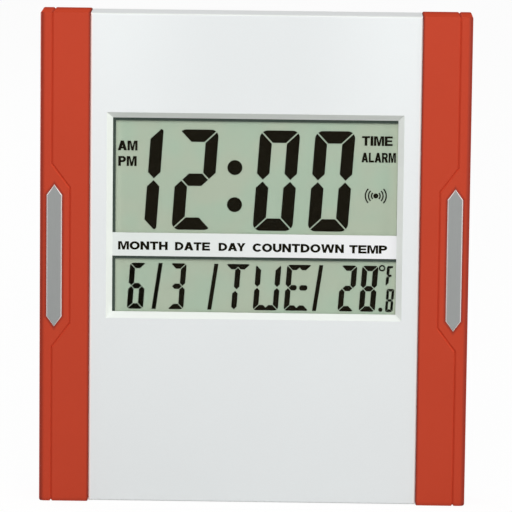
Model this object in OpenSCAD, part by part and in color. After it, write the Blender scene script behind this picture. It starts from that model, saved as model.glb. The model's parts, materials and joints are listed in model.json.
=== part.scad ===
// Digital calendar clock: a silver panel with two segment displays between red side rails,
// on a shallow rear case with a fold-out stand, a battery bay, a buzzer and five buttons.
// X runs to the right, Y to the back and Z up. The origin is the middle of the base.

/* [Body] */
// Width over the side rails
body_w = 225; // [212:1:250]
// Height of the side rails
body_h = 259; // [250:1:285]
// Depth from the trim strips to the back
body_d = 28; // [27:0.5:34]
// Wall thickness of the front panel and the rear case
wall = 2.2; // [1.8:0.1:2.6]
// Setback of the panel and the case from the ends of the rails
end_inset = 0.4; // [0.2:0.1:1]
// Gap between mouldings that lie side by side
fit = 0.2; // [0.1:0.05:0.3]
// Radius of the case edges at the back
case_r = 1.5; // [0.5:0.1:1.7]

/* [Side rails] */
// Width of a side rail
rail_w = 26; // [24:0.5:30]
// Wall thickness of a side rail
rail_t = 2; // [1.6:0.1:2.4]
// Radius of the long outer edge at the front
rail_r = 3; // [2.5:0.1:4.5]
// Radius of the long edge beside the panel
rail_edge_r = 0.8; // [0.3:0.1:1]
// Radius of the end corners and of the long edge at the back
rail_corner_r = 1; // [0.4:0.1:1.3]
// Width of the lip behind the case
rail_lip = 10; // [8.5:0.5:12]
// Thickness of the closed ends
rail_end_t = 1.8; // [1.5:0.1:2.4]
// Width of the decorative V groove
groove_w = 1.4; // [0.8:0.1:1.8]
// Distance of the groove from the outer edge at the ends
groove_edge = 6.4; // [5.5:0.1:8]
// Distance of the groove from the outer edge beside the trim strip
groove_mid = 15.8; // [14:0.1:18]
// Length of the groove beside the trim strip
groove_len = 72; // [60:1:90]
// Height over which the groove slants
groove_slant = 12.5; // [8:0.5:18]
// Width of a snap hook
hook_w = 6; // [4:0.5:8]
// Thickness of a snap hook
hook_t = 2; // [1.6:0.1:2.4]
// Height of the barb on a snap hook
hook_barb = 0.8; // [0.5:0.1:1.2]
// Distance between snap hooks
hook_pitch = 80; // [70:1:90]

/* [Trim strips] */
// Length of a trim strip over its points
trim_len = 75.3; // [60:0.1:90]
// Width of a trim strip
trim_w = 8; // [6:0.1:9]
// Height of a trim strip's point
trim_point = 5.5; // [3:0.1:8]
// Distance of the strip's middle from the outer edge
trim_edge = 7.7; // [7:0.1:9]
// Height of the strip's middle above the base
trim_z = 131; // [120:1:140]
// How far a strip stands out of its rail
trim_proud = 0.5; // [0.2:0.1:0.9]
// Depth of the pocket that a strip sits in
trim_seat = 1; // [0.6:0.1:1.2]
// Width of the bevel round a strip
trim_bevel = 0.5; // [0.2:0.1:0.9]
// Gap round a strip in its pocket
trim_fit = 0.1; // [0.05:0.05:0.2]

/* [Front panel] */
// Setback of the panel face behind the rails
panel_step = 1; // [0.4:0.1:1.4]
// Radius of the panel's top and bottom edges
panel_r = 0.6; // [0.3:0.1:1]
// Width of the display window
window_w = 149; // [130:0.5:150]
// Height of the display window
window_h = 102.6; // [95:0.1:112]
// Height of the window's middle above the base
window_z = 152.6; // [148:0.1:158]
// Width of the bevel round the window
bevel_w = 3.1; // [2:0.1:3.4]
// Depth of the bevel
bevel_d = 2.8; // [2.2:0.1:3.4]
// Thickness of the bezel behind the bevel
lip_t = 0.7; // [0.6:0.1:1.4]
// Height of the label bar between the displays
bar_h = 12.3; // [11:0.1:16]
// Height of the date display's opening
date_h = 29.6; // [27:0.1:33]

/* [Displays] */
// Thickness of the foam gasket
gasket_t = 0.2; // [0.2:0.1:0.8]
// Width of gasket that shows at the top and left
gasket_show = 1.5; // [0.5:0.1:2.5]
// Thickness of one display glass
glass_t = 0.7; // [0.7:0.1:1.3]
// Gap between the two glasses
cell_gap = 0.15; // [0.1:0.05:0.3]
// Thickness of the reflector film
reflector_t = 0.25; // [0.15:0.05:0.4]
// How far the glass reaches behind the bezel
glass_edge = 3.5; // [3:0.1:4]
// Width of the contact ledge on the front glass
ledge_w = 4; // [3:0.1:5]
// Width of the seal between the glasses
seal_w = 1.5; // [0.8:0.1:2]
// Gap round the glass in its frame
glass_fit = 0.3; // [0.2:0.05:0.5]
// Thickness of the frame round the glass
frame_t = 1.5; // [1:0.1:2]
// Depth of the frame round the glass
frame_d = 2.2; // [1.4:0.1:2.6]
// Width of a rubber contact strip
zebra_w = 2; // [1.4:0.1:2.6]

/* [Figures] */
// Height of a time figure
digit_h = 53; // [45:0.5:54]
// Width of a time figure
digit_w = 20.9; // [18:0.1:22]
// Stroke of a time figure
digit_stroke = 6.5; // [4.5:0.1:6.8]
// Gap between the segments of a time figure
digit_gap = 0.5; // [0.4:0.1:1.2]
// Distance between two time figures
digit_pitch = 28.9; // [27:0.1:30]
// Middle of the two hour figures
hour_x = -45.85; // [-48:0.05:-44]
// Middle of the two minute figures
minute_x = 25.6; // [24:0.05:27]
// Middle of the colon
colon_x = -10.65; // [-12:0.05:-9]
// Lean of all figures in degrees
figure_lean = 3.9; // [0:0.1:6]
// Radius of a colon dot
colon_r = 3.9; // [3:0.1:4.2]
// Distance between the colon dots
colon_gap = 19.6; // [14:0.1:24]
// Height of a date figure
small_h = 24.4; // [20:0.1:25]
// Width of a date figure
small_w = 8.5; // [7.5:0.1:8.8]
// Stroke of a date figure
small_stroke = 2.8; // [1.8:0.1:3]
// Gap between the segments of a date figure
small_gap = 0.3; // [0.2:0.05:0.5]
// Width of a weekday letter
letter_w = 13.2; // [11:0.1:14]

/* [Boards] */
// Thickness of the circuit boards
board_t = 1.6; // [1:0.1:2]
// Space between a display and the main board
board_gap = 1.1; // [0.8:0.1:2]
// Reach of the main board past its screw heads
board_edge = 1.5; // [1:0.1:2]
// Radius of a screw boss
boss_r = 3.5; // [3:0.1:4]
// Radius of a screw shank
screw_r = 1.25; // [1:0.05:1.4]
// Radius of a screw head
head_r = 2.6; // [2.3:0.1:2.8]
// Height of a screw head
head_h = 1.8; // [1.2:0.1:2.2]

/* [Case screws] */
// Distance of the end screws from the ends of the rails
screw_end = 14; // [11:0.5:24]
// Distance of the screws from the side of the case
screw_side = 10.5; // [9.5:0.5:12]
// Radius of the well over a case screw
well_r = 3.4; // [3:0.1:3.8]
// Wall of the post round a well
post_t = 1.6; // [1.2:0.1:2]
// Height of a panel boss behind the parting plane
boss_h = 6.3; // [5:0.1:8]
// Thickness of the seat under a screw head
seat_t = 2; // [1.4:0.1:2.6]

/* [Keyhole] */
// Radius of the keyhole's entry
key_r = 4.5; // [3.5:0.1:5.5]
// Half width of the keyhole's slot
key_slot_r = 2; // [1.5:0.1:2.6]
// Rise of the slot above the entry
key_rise = 8; // [6:0.5:10]
// Distance of the entry from the top of the rails
key_drop = 25; // [21:0.5:33]
// Depth of the closed pocket behind the keyhole
key_depth = 7; // [5:0.5:9]

/* [Stand] */
// Width of the stand
stand_w = 60; // [48:0.5:62]
// Height of the stand's hinge above the base
stand_z = 118; // [100:0.5:126]
// Height of the stand's foot above the base
foot_z = 3.4; // [2:0.1:8]
// Thickness of the stand's plate
stand_t = 2.2; // [1.8:0.1:2.6]
// Depth of the recess that the stand folds into
recess_d = 6.2; // [6.1:0.1:7.5]
// Radius of the stand's hinge pins
pin_r = 2; // [1.5:0.1:2.2]
// Radius of the stand's hinge barrel
barrel_r = 2.8; // [2.6:0.1:3]
// Length of a hinge pin
pin_len = 3; // [2:0.1:3.4]
// Gap beside and above the stand
stand_gap = 0.5; // [0.3:0.1:0.8]
// Opening angle at which the stand's heel meets the recess
stand_stop = 31.5; // [31:0.5:40]
// Running clearance of hinge pins
pin_fit = 0.08; // [0.03:0.01:0.1]

/* [Battery bay] */
// Radius of a cell
cell_r = 7.25; // [7:0.05:7.3]
// Length of a cell over its button
cell_len = 50.5; // [49:0.1:51]
// Distance of the bay's middle from the clock's middle
bay_x = 58; // [57:0.5:66]
// Height of the bay's floor above the base
bay_z = 18; // [17:0.5:24]
// Length of the bay
bay_len = 60; // [59:0.5:64]
// Gap between and beside the cells
cell_gap_x = 0.6; // [0.3:0.1:0.8]
// Wall of the bay
bay_t = 1.8; // [1.4:0.1:2.2]
// Thickness of a contact plate
contact_t = 0.4; // [0.3:0.05:0.5]
// Radius of the spring wire
wire_r = 0.35; // [0.3:0.01:0.4]
// Radius of the spring's wide end
spring_r = 4.6; // [4:0.1:5.5]
// Radius of the spring's narrow end
spring_tip_r = 3.2; // [2.6:0.1:3.6]
// Turns of the spring
spring_turns = 4; // [3:1:5]
// Thickness of the battery door
door_t = 2; // [1.8:0.1:2]
// How far the door reaches past the bay
door_lap = 3; // [2.6:0.1:4]
// Radius of the door's hinge pins
door_pin_r = 1.2; // [1:0.05:1.25]
// Radius of the door's round hinge edge
door_edge_r = 1.6; // [1.5:0.05:1.7]
// Gap round the door
door_gap = 0.3; // [0.2:0.05:0.5]
// Width of the door's latch tongue
latch_w = 12; // [8:0.5:18]

/* [Buttons] */
// Distance of the buttons from the clock's middle
button_x = 62; // [60:0.5:70]
// Height of the lowest button above the base
button_z = 34; // [32:0.5:40]
// Distance between buttons
button_pitch = 16; // [14:0.5:17]
// Radius of a button
button_r = 4; // [3:0.1:4.6]
// Guide clearance round a button
button_fit = 0.1; // [0.05:0.01:0.1]
// Depth of the buttons' recess
button_recess = 1.5; // [1:0.1:1.8]
// How far a button stays below the back
button_sunk = 0.3; // [0.1:0.1:0.6]
// Travel of a button
button_travel = 0.6; // [0.3:0.05:0.8]

/* [Buzzer] */
// Radius of the buzzer's brass disc
buzzer_r = 13.5; // [11:0.5:15]
// Height of the buzzer above the base
buzzer_z = 175; // [165:0.5:200]
// Radius of a sound hole
sound_r = 1.1; // [0.6:0.1:1.4]

/* [Hidden] */
$fn = 48;

// Overshoot of a cut past the face it opens
over = 1;
// Overlap of a feature with the wall it grows from
root = 0.5;

// Depths, from the front to the back
back_y = body_d / 2;
rail_y = -body_d / 2 + trim_proud;
rail_in_y = rail_y + rail_t;
panel_y = rail_y + panel_step;
panel_in_y = panel_y + wall;
rim_y = rail_in_y + wall;
lcd_y = panel_y + bevel_d + lip_t;
glass_y = lcd_y + gasket_t;
cell_y = glass_y + glass_t;
rear_glass_y = cell_y + cell_gap;
reflector_y = rear_glass_y + glass_t;
board_y = reflector_y + reflector_t + board_gap;
board_back_y = board_y + board_t;
frame_y = lcd_y + frame_d;
seat_y = rim_y + boss_h;
case_in_y = back_y - wall;

// Outline of the panel and the case: full height between the rails, shorter behind them
half_w = body_w / 2;
rail_x = half_w - rail_w;
panel_x = rail_x - fit;
case_x = half_w - rail_lip - fit;
low_z = end_inset;
high_z = body_h - end_inset;
side_low_z = rail_end_t + fit;
side_high_z = body_h - rail_end_t - fit;
hook_zs = [for (i = [-1:1]) body_h / 2 + i * hook_pitch];
screw_zs = [screw_end, body_h / 2, body_h - screw_end];
screw_x = case_x - screw_side;
post_r = well_r + post_t;

// Window, displays and their frame
window_x = window_w / 2;
window_low = window_z - window_h / 2;
window_high = window_z + window_h / 2;
date_low = window_low;
date_high = window_low + date_h;
main_low = date_high + bar_h;
main_high = window_high;
glass_x = window_x + glass_edge;
main_glass = [main_low - glass_edge, main_high + glass_edge];
date_glass = [date_low - glass_edge, date_high + glass_edge];
frame_in_x = glass_x + glass_fit;
frame_in_low = date_glass[0] - ledge_w - glass_fit;
frame_in_high = main_glass[1] + ledge_w + glass_fit;
frame_x = frame_in_x + frame_t;
frame_low = frame_in_low - frame_t;
frame_high = frame_in_high + frame_t;
bar_rib = [date_glass[1] + glass_fit, main_glass[0] - glass_fit];

// Main board and its screws
board_screw_in = 10;
board_screw_off = 2.5;
board_screw_x = frame_x - board_screw_in;
board_screws_at = [for (x = [-1, 1], z = [frame_low - board_screw_off, frame_high + board_screw_off])
    [x * board_screw_x, z]];
board_low = frame_low - board_screw_off - head_r - board_edge;
board_high = frame_high + board_screw_off + head_r + board_edge;
hole_len = 5;
hole_short = 0.4;
hole_fit = 0.05;
screw_pass = 0.3;
shank_len = hole_len - hole_short;

// Figures: places along the row from the middle of the clock, in the order that they are read
seven = ["abcdef", "bc", "abged", "abgcd", "fgbc", "afgcd", "afgedc", "abc", "abcdefg", "abcdfg"];
time_drop = 2.2;
colon_drop = 3.1;
time_z = (main_low + main_high) / 2 - time_drop;
date_drop = 1.35;
date_z = (date_low + date_high) / 2 - date_drop;
month_x = -61.7;
day_x = -40.5;
middle_gap = 0.7;
stem_gap = 0.42;
stem_drop = 1.65;
stem_side = 0.6;
corner_share = 0.62;
tip_share = 0.2;
blunt_share = 0.45;
corner_steps = 4;
slash_xs = [-50.9, -21.6, 33.5];
slash_run = 3.55;
slash_w = 2.1;
letter_xs = [-9.1, 6.9, 23.15];
temp_xs = [49.15, 60.25];
tenths_x = 71.4;
tenths_w = 3.95;
tenths_h = 12.2;
tenths_stroke = 1.3;
unit_x = 71.1;
unit_h = 10.7;
unit_w = 3.3;
unit_stroke = 1.5;
point_x = 66.6;
point_r = 1.1;
ring_x = 67.2;
ring_drop = 1.2;
ring_r = 1.7;
ring_t = 0.75;

// Keyhole pocket
key_z = body_h - key_drop;
key_room = 2;
key_top = key_z + key_rise + key_slot_r + key_room;
key_box_t = 1.8;

// Stand and its recess
stand_x = stand_w / 2;
recess_x = stand_x + stand_gap;
recess_y = back_y - recess_d;
ear_t = pin_len + stand_gap;
stand_sunk = 0.2;
barrel_gap = 0.4;
stand_out_y = back_y - stand_sunk;
stand_axis_y = stand_out_y - barrel_r;
recess_top = barrel_r + barrel_gap;
heel_y = stand_out_y - stand_axis_y;
heel_z = (recess_top - heel_y * sin(stand_stop)) / cos(stand_stop);
stand_rib_t = 2;
stand_rib_gap = 0.8;
stand_rib_y = recess_y + stand_rib_gap;
foot_r = 6;

// Battery bay, cells and door
cell_x = cell_r + cell_gap_x / 2;
bay_half = cell_x + cell_r + cell_gap_x;
bay_top = bay_z + bay_len;
cell_door_gap = 0.5;
cell_floor_gap = 0.3;
cell_nub_r = 2.75;
cell_nub_h = 1.2;
cell_axis_y = back_y - door_t - cell_door_gap - cell_r;
bay_floor_y = cell_axis_y - cell_r - cell_floor_gap;
cell_can = cell_len - cell_nub_h;
pocket_x = bay_half + door_lap;
hinge_drop = 3;
hinge_gap = 0.5;
hinge_wall = 1.4;
latch_room = 1;
door_axis_z = bay_z - hinge_drop;
door_axis_y = back_y - door_edge_r;
door_in_y = back_y - door_t;
hinge_room = door_edge_r + hinge_gap;
hinge_floor_y = door_axis_y - door_edge_r - door_gap;
pocket_top = bay_top + door_lap + latch_room;
door_pin_len = 2;
door_frame_rim = 3;
door_frame_x = pocket_x + door_pin_len + hinge_wall;
door_frame_y = hinge_floor_y - hinge_wall;
tab_w = 3;
tab_rise = 1.5;
spring_len = bay_len - 2 * contact_t - cell_len;

// Buttons and key board
button_zs = [for (i = [0:4]) button_z + i * button_pitch];
button_top_y = back_y - button_sunk;
button_floor_y = back_y - button_recess;
button_plate_y = button_floor_y - wall;
button_flange_t = 1;
button_flange_w = 1.2;
button_flange_r = button_r + button_flange_w;
screw_room = 0.3;
key_front_y = board_back_y + head_h + screw_room;
key_back_y = key_front_y + board_t;
switch_w = 6;
switch_h = 3.5;
plunger_r = 1.7;
plunger_h = 0.8;
plunger_y = key_back_y + switch_h + plunger_h;
press_gap = 0.1;
stem_r = 1.6;
stem_y = plunger_y + button_travel + press_gap;
recess_rim = 4;
recess_end = 10;
recess_half = button_r + recess_rim;
key_low = button_zs[0] - recess_end;
key_high = button_zs[4] + recess_end;
key_screw_off = 2;
key_board_side = 2;
key_board_end = 6.5;
key_screw_zs = [key_low - key_screw_off, key_high + key_screw_off];
key_board_x = recess_half + key_board_side;

// Buzzer
buzzer_x = -58;
buzzer_rib = 2.5;
buzzer_rib_t = 1.5;
buzzer_t = 0.25;
ceramic_t = 0.2;
ceramic_rim = 3.5;
ceramic_r = buzzer_r - ceramic_rim;
buzzer_y = case_in_y - buzzer_rib;
sound_ring = 5;

// Leads: hand-chosen points from a terminal to the back of the main board
lead_r = 0.6;
lead_x = bay_x - cell_x;
lead_x2 = bay_x + cell_x;
tab_top = bay_top + bay_t + tab_rise;
lead_route = [
    [cell_axis_y, tab_top], [cell_axis_y, tab_top + 2], [cell_axis_y - 2, tab_top + 6],
    [board_back_y + 3, tab_top + 9], [board_back_y + 1.5, tab_top + 10], [board_back_y, tab_top + 10]
];
buzzer_lead_r = 0.45;
buzzer_lead_at = [[buzzer_x + ceramic_r / 2, -3, ceramic_t], [buzzer_x + ceramic_r, -6, 0]];

// Least gap between the turns of a battery spring, measured along its centre line
coil_points = coil_path();
coil_gap = min([for (i = [0:len(coil_points) - 1], j = [0:len(coil_points) - 1])
    if (j > i + 4) norm(coil_points[i] - coil_points[j])]) - 2 * wire_r;
echo(least_gap_between_spring_turns = coil_gap);

// Shapes drawn flat and carried along one axis

module slab(y0, y1) {
    translate([0, y1, 0])
        rotate([90, 0, 0])
            linear_extrude(y1 - y0)
                children();
}

module bar(x0, x1) {
    translate([x0, 0, 0])
        rotate([90, 0, 90])
            linear_extrude(x1 - x0)
                children();
}

module post(z0, z1) {
    translate([0, 0, z0])
        linear_extrude(z1 - z0)
            children();
}

module rod(x, z, y0, y1, r) {
    translate([x, y1, z])
        rotate([90, 0, 0])
            cylinder(r = r, h = y1 - y0);
}

module axle(y, z, x0, x1, r) {
    translate([x0, y, z])
        rotate([0, 90, 0])
            cylinder(r = r, h = x1 - x0);
}

module block(low, high) {
    translate(low)
        cube(high - low);
}

module rect(x0, y0, x1, y1) {
    translate([x0, y0])
        square([x1 - x0, y1 - y0]);
}

module round_rect(x0, y0, x1, y1, r) {
    rect(x0 + r, y0, x1 - r, y1);
    rect(x0, y0 + r, x1, y1 - r);
    for (x = [x0 + r, x1 - r], y = [y0 + r, y1 - r])
        translate([x, y])
            circle(r);
}

// Waste outside a round corner at x, y; the quarter counts anticlockwise from the upper right
module round_off(x, y, quarter, r) {
    way = [[1, 1], [-1, 1], [-1, -1], [1, -1]][quarter];
    translate([x - way[0] * r, y - way[1] * r])
        rotate(90 * quarter)
            difference() {
                square(r + over);
                circle(r);
            }
}

// Stepped outline of the panel and the case, drawn in by an inset
module stepped_outline(inset) {
    rect(-panel_x + inset, low_z + inset, panel_x - inset, high_z - inset);
    rect(-case_x + inset, side_low_z + inset, case_x - inset, side_high_z - inset);
}

module at_both_sides() {
    children();
    mirror([1, 0, 0])
        children();
}

// Side rails, drawn on the right

module rail_section() {
    difference() {
        rect(rail_x, rail_y, half_w, back_y);
        round_off(half_w, back_y, 0, rail_corner_r);
        round_off(half_w, rail_y, 3, rail_r);
        round_off(rail_x, rail_y, 2, rail_edge_r);
    }
}

module rail_hollow() {
    side = half_w - rail_t;
    difference() {
        rect(rail_x - over, rail_in_y, side, back_y - rail_t);
        round_off(side, rail_in_y, 3, rail_r - rail_t);
    }
    rect(rail_x - over, rail_in_y, half_w - rail_lip, back_y + over);
}

// One straight run of the V groove between two points of the rail's face
module groove_run(from, to, turn) {
    step = to - from;
    extra = groove_w / 2 * tan(turn / 2);
    translate([from[0], rail_y, from[1]])
        rotate([0, atan2(step[0], step[1]), 0])
            translate([0, 0, -extra])
                cylinder(r = groove_w / 2, h = norm(step) + 2 * extra, $fn = 4);
}

module groove() {
    end_x = half_w - groove_edge;
    mid_x = half_w - groove_mid;
    high = trim_z + groove_len / 2;
    low = trim_z - groove_len / 2;
    turn = atan2(end_x - mid_x, groove_slant);
    groove_run([end_x, body_h + over], [end_x, high + groove_slant], turn);
    groove_run([end_x, high + groove_slant], [mid_x, high], turn);
    groove_run([mid_x, high], [mid_x, low], turn);
    groove_run([mid_x, low], [end_x, low - groove_slant], turn);
    groove_run([end_x, low - groove_slant], [end_x, -over], turn);
    for (z = [0, body_h])
        translate([end_x, back_y + over, z])
            rotate([90, 0, 0])
                cylinder(r = groove_w / 2, h = body_d + over, $fn = 4);
}

// Six-sided outline of a trim strip, grown by a margin
module trim_outline(margin) {
    half = trim_w / 2 + margin;
    end = trim_len / 2 + margin;
    shoulder = trim_len / 2 - trim_point;
    translate([half_w - trim_edge, trim_z])
        polygon([
            [0, end], [half, shoulder], [half, -shoulder],
            [0, -end], [-half, -shoulder], [-half, shoulder]
        ]);
}

module snap_hook(z) {
    inside = case_x - wall - fit / 2;
    tip = inside - 2 * hook_barb;
    side = hook_t / 2;
    post(z - hook_w / 2, z + hook_w / 2)
        union() {
            rect(tip, -side, half_w - rail_t + root, side);
            polygon([[inside, side - root], [inside, side + hook_barb], [tip, side - root]]);
        }
}

module side_rail() {
    color([0.76, 0.27, 0.19])
        difference() {
            union() {
                difference() {
                    post(0, body_h)
                        rail_section();
                    post(rail_end_t, body_h - rail_end_t)
                        rail_hollow();
                }
                for (z = hook_zs)
                    snap_hook(z);
            }
            groove();
            slab(rail_y - over, rail_y + trim_seat)
                trim_outline(trim_fit);
            slab(rail_y - over, back_y + over)
                union() {
                    round_off(half_w, body_h, 0, rail_corner_r);
                    round_off(rail_x, body_h, 1, rail_corner_r);
                    round_off(rail_x, 0, 2, rail_corner_r);
                    round_off(half_w, 0, 3, rail_corner_r);
                }
        }
}

module right_side_rail() {
    side_rail();
}

module left_side_rail() {
    mirror([1, 0, 0])
        side_rail();
}

module trim_strip() {
    color([0.6, 0.61, 0.61])
        hull() {
            slab(-body_d / 2 + trim_bevel, rail_y + trim_seat)
                trim_outline(0);
            slab(-body_d / 2, rail_y + trim_seat)
                trim_outline(-trim_bevel);
        }
}

module right_trim_strip() {
    trim_strip();
}

module left_trim_strip() {
    mirror([1, 0, 0])
        trim_strip();
}

// Front panel

// Sloping sides of the window, cut from the face down to the bezel
module window_bevel() {
    slope = bevel_w / bevel_d;
    front = panel_y - over;
    deep = panel_y + bevel_d;
    wide = bevel_w + over * slope;
    intersection() {
        bar(-half_w, half_w)
            polygon([
                [front, window_low - wide], [deep, window_low],
                [deep, window_high], [front, window_high + wide]
            ]);
        post(0, body_h)
            polygon([
                [-window_x - wide, front], [window_x + wide, front],
                [window_x, deep], [-window_x, deep]
            ]);
    }
}

module panel_plate() {
    difference() {
        slab(panel_y, panel_in_y)
            rect(-panel_x, low_z, panel_x, high_z);
        bar(-half_w, half_w)
            union() {
                round_off(panel_y, high_z, 1, panel_r);
                round_off(panel_y, low_z, 2, panel_r);
            }
        at_both_sides()
            post(-over, body_h + over)
                round_off(panel_x, panel_y, 3, panel_r);
    }
    for (z = [low_z, high_z - wall])
        block([-panel_x, panel_in_y - root, z], [panel_x, rim_y, z + wall]);
    at_both_sides()
        slab(rail_in_y, rim_y)
            union() {
                rect(panel_x - wall, side_low_z, case_x, side_high_z);
                rect(panel_x - wall, low_z, panel_x, high_z);
            }
}

module front_panel() {
    color([0.88, 0.89, 0.9]) {
        difference() {
            union() {
                panel_plate();
                slab(panel_in_y - root, frame_y)
                    rect(-frame_x, frame_low, frame_x, frame_high);
                for (p = board_screws_at)
                    rod(p[0], p[1], panel_in_y - root, board_y, boss_r);
                for (x = [-screw_x, screw_x], z = screw_zs)
                    rod(x, z, rim_y - root, seat_y, boss_r);
            }
            window_bevel();
            slab(panel_y, lcd_y + over)
                union() {
                    rect(-window_x, main_low, window_x, main_high);
                    rect(-window_x, date_low, window_x, date_high);
                }
            slab(lcd_y, frame_y + over)
                union() {
                    rect(-frame_in_x, bar_rib[1], frame_in_x, frame_in_high);
                    rect(-frame_in_x, frame_in_low, frame_in_x, bar_rib[0]);
                }
            for (p = board_screws_at)
                rod(p[0], p[1], board_y - hole_len, board_y + over, screw_r + hole_fit);
            for (x = [-screw_x, screw_x], z = screw_zs)
                rod(x, z, seat_y - hole_len, seat_y + over, screw_r + hole_fit);
        }
    }
}

// Displays: each stack lies between the bezel and the main board

module gasket(glass, low, high) {
    hidden = glass_edge / 4;
    color([0.08, 0.09, 0.08])
        slab(lcd_y, glass_y)
            difference() {
                rect(-glass_x, glass[0], glass_x, glass[1]);
                rect(-window_x + gasket_show, low - hidden, window_x + hidden, high - gasket_show);
            }
}

module front_glass(low, high) {
    color([0.7, 0.76, 0.68, 0.4])
        slab(glass_y, cell_y)
            rect(-glass_x, low, glass_x, high);
}

module glass_seal(glass) {
    color([0.5, 0.53, 0.48])
        slab(cell_y, rear_glass_y)
            difference() {
                rect(-glass_x, glass[0], glass_x, glass[1]);
                rect(-glass_x + seal_w, glass[0] + seal_w, glass_x - seal_w, glass[1] - seal_w);
            }
}

module rear_glass(glass) {
    color([0.66, 0.73, 0.64])
        slab(rear_glass_y, reflector_y)
            rect(-glass_x, glass[0], glass_x, glass[1]);
}

module reflector(glass) {
    color([0.75, 0.77, 0.75])
        slab(reflector_y, reflector_y + reflector_t)
            rect(-glass_x, glass[0], glass_x, glass[1]);
}

module contact_strip(z) {
    color([0.2, 0.2, 0.22])
        slab(cell_y, board_y)
            rect(-window_x, z - zebra_w / 2, window_x, z + zebra_w / 2);
}

// Segments of a figure about its middle: half width a, half height b, stroke s, gap g.
// The corner is rounded outside by the radius k, and the ends are mitred.
// A lone stroke has no top beside it: its mitre goes on to the start of a small round.

function flip_x(pts) = [for (p = pts) [-p[0], p[1]]];
function flip_z(pts) = [for (p = pts) [p[0], -p[1]]];

// Turn of the round corner's point that lies on a mitre, from the corner's middle
function mitre_turn(g, k) = asin(g / (sqrt(2) * k));

function corner_arc(a, b, k, from, to) = [
    for (i = [0 : corner_steps])
        let (turn = from + (to - from) * i / corner_steps)
        [a - k + k * cos(turn), b - k + k * sin(turn)]
];

function top_segment(a, b, s, g, k, notch) =
    let (turn = 45 + mitre_turn(g, k))
    concat(
        flip_x(corner_arc(a, b, k, turn, 90)),
        corner_arc(a, b, k, 90, turn),
        [[a - s - g, b - s]],
        notch == 0 ? [] : [[notch, b - s], [0, b - s + notch], [-notch, b - s]],
        [[-a + s + g, b - s]]
    );

function side_segment(a, b, s, g, k, top_gap) = concat(
    corner_arc(a, b, k, 45 - mitre_turn(top_gap, k), 0),
    [[a, s / 2 + g], [a - s / 2, g], [a - s, s / 2 + g], [a - s, b - s - top_gap]]
);

// End of a bar at x: a point, or a blunt edge of a share of the stroke that runs up or down
function bar_end(x, way, s, blunt) =
    blunt == 0 ? [[x, 0]] : [[x, -way * blunt * s / 2], [x, way * blunt * s / 2]];

function middle_segment(x0, x1, s, left, right) =
    let (left_x = x0 + (1 - left) * s / 2, right_x = x1 - (1 - right) * s / 2)
    concat(
        bar_end(x0, 1, s, left),
        [[left_x, s / 2], [right_x, s / 2]],
        bar_end(x1, -1, s, right),
        [[right_x, -s / 2], [left_x, -s / 2]]
    );

function stem_segment(x, z0, z1, s) =
    let (low = z0 + s / 2, high = z1 - s / 2)
    [[x, z0], [x + s / 2, low], [x + s / 2, high], [x, z1], [x - s / 2, high], [x - s / 2, low]];

// Points of the segment with a letter: a to g as on any seven-segment figure,
// h and k for the two halves of the middle bar, i and l for a stem in the middle,
// m and n for a top and a bottom with a notch
function segment(name, a, b, s, g, open) =
    let (k = s * (open ? tip_share : corner_share))
    let (side = side_segment(a, b, s, g, k, open ? -k : g), reach = a - s / 2 - g)
    name == "a" ? top_segment(a, b, s, g, k, 0) :
    name == "d" ? flip_z(top_segment(a, b, s, g, k, 0)) :
    name == "m" ? top_segment(a, b, s, g, k, s / 2) :
    name == "n" ? flip_z(top_segment(a, b, s, g, k, s / 2)) :
    name == "b" ? side :
    name == "c" ? flip_z(side) :
    name == "f" ? flip_x(side) :
    name == "e" ? flip_x(flip_z(side)) :
    name == "g" ? middle_segment(-reach, reach, s, 0, 0) :
    name == "h" ? middle_segment(-reach, -middle_gap, s, 0, blunt_share) :
    name == "k" ? middle_segment(middle_gap, reach, s, blunt_share, blunt_share) :
    name == "i" ? stem_segment(0, stem_gap - stem_drop, b - s / 2 - 2 * g, s) :
    flip_z(stem_segment(-stem_side, stem_gap + stem_drop, b - g, s));

function lean(p) = [p[0] + p[1] * tan(figure_lean), p[1]];

module figure(segments, x, z, w, h, s, g, open = false) {
    translate([x, z])
        for (name = segments)
            polygon([for (p = segment(name, w / 2, h / 2, s, g, open)) lean(p)]);
}

module time_figures() {
    figure(seven[1], hour_x - digit_pitch / 2, time_z, digit_w, digit_h, digit_stroke, digit_gap, true);
    figure(seven[2], hour_x + digit_pitch / 2, time_z, digit_w, digit_h, digit_stroke, digit_gap);
    for (i = [-1, 1])
        figure(seven[0], minute_x + i * digit_pitch / 2, time_z, digit_w, digit_h, digit_stroke, digit_gap);
    for (i = [-1, 1])
        translate([colon_x, time_z - colon_drop + i * colon_gap / 2])
            circle(colon_r);
}

module slash(x) {
    half = small_h / 2;
    translate([x, date_z])
        polygon([
            [-slash_run / 2 - slash_w / 2, -half], [-slash_run / 2 + slash_w / 2, -half],
            [slash_run / 2 + slash_w / 2, half], [slash_run / 2 - slash_w / 2, half]
        ]);
}

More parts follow.
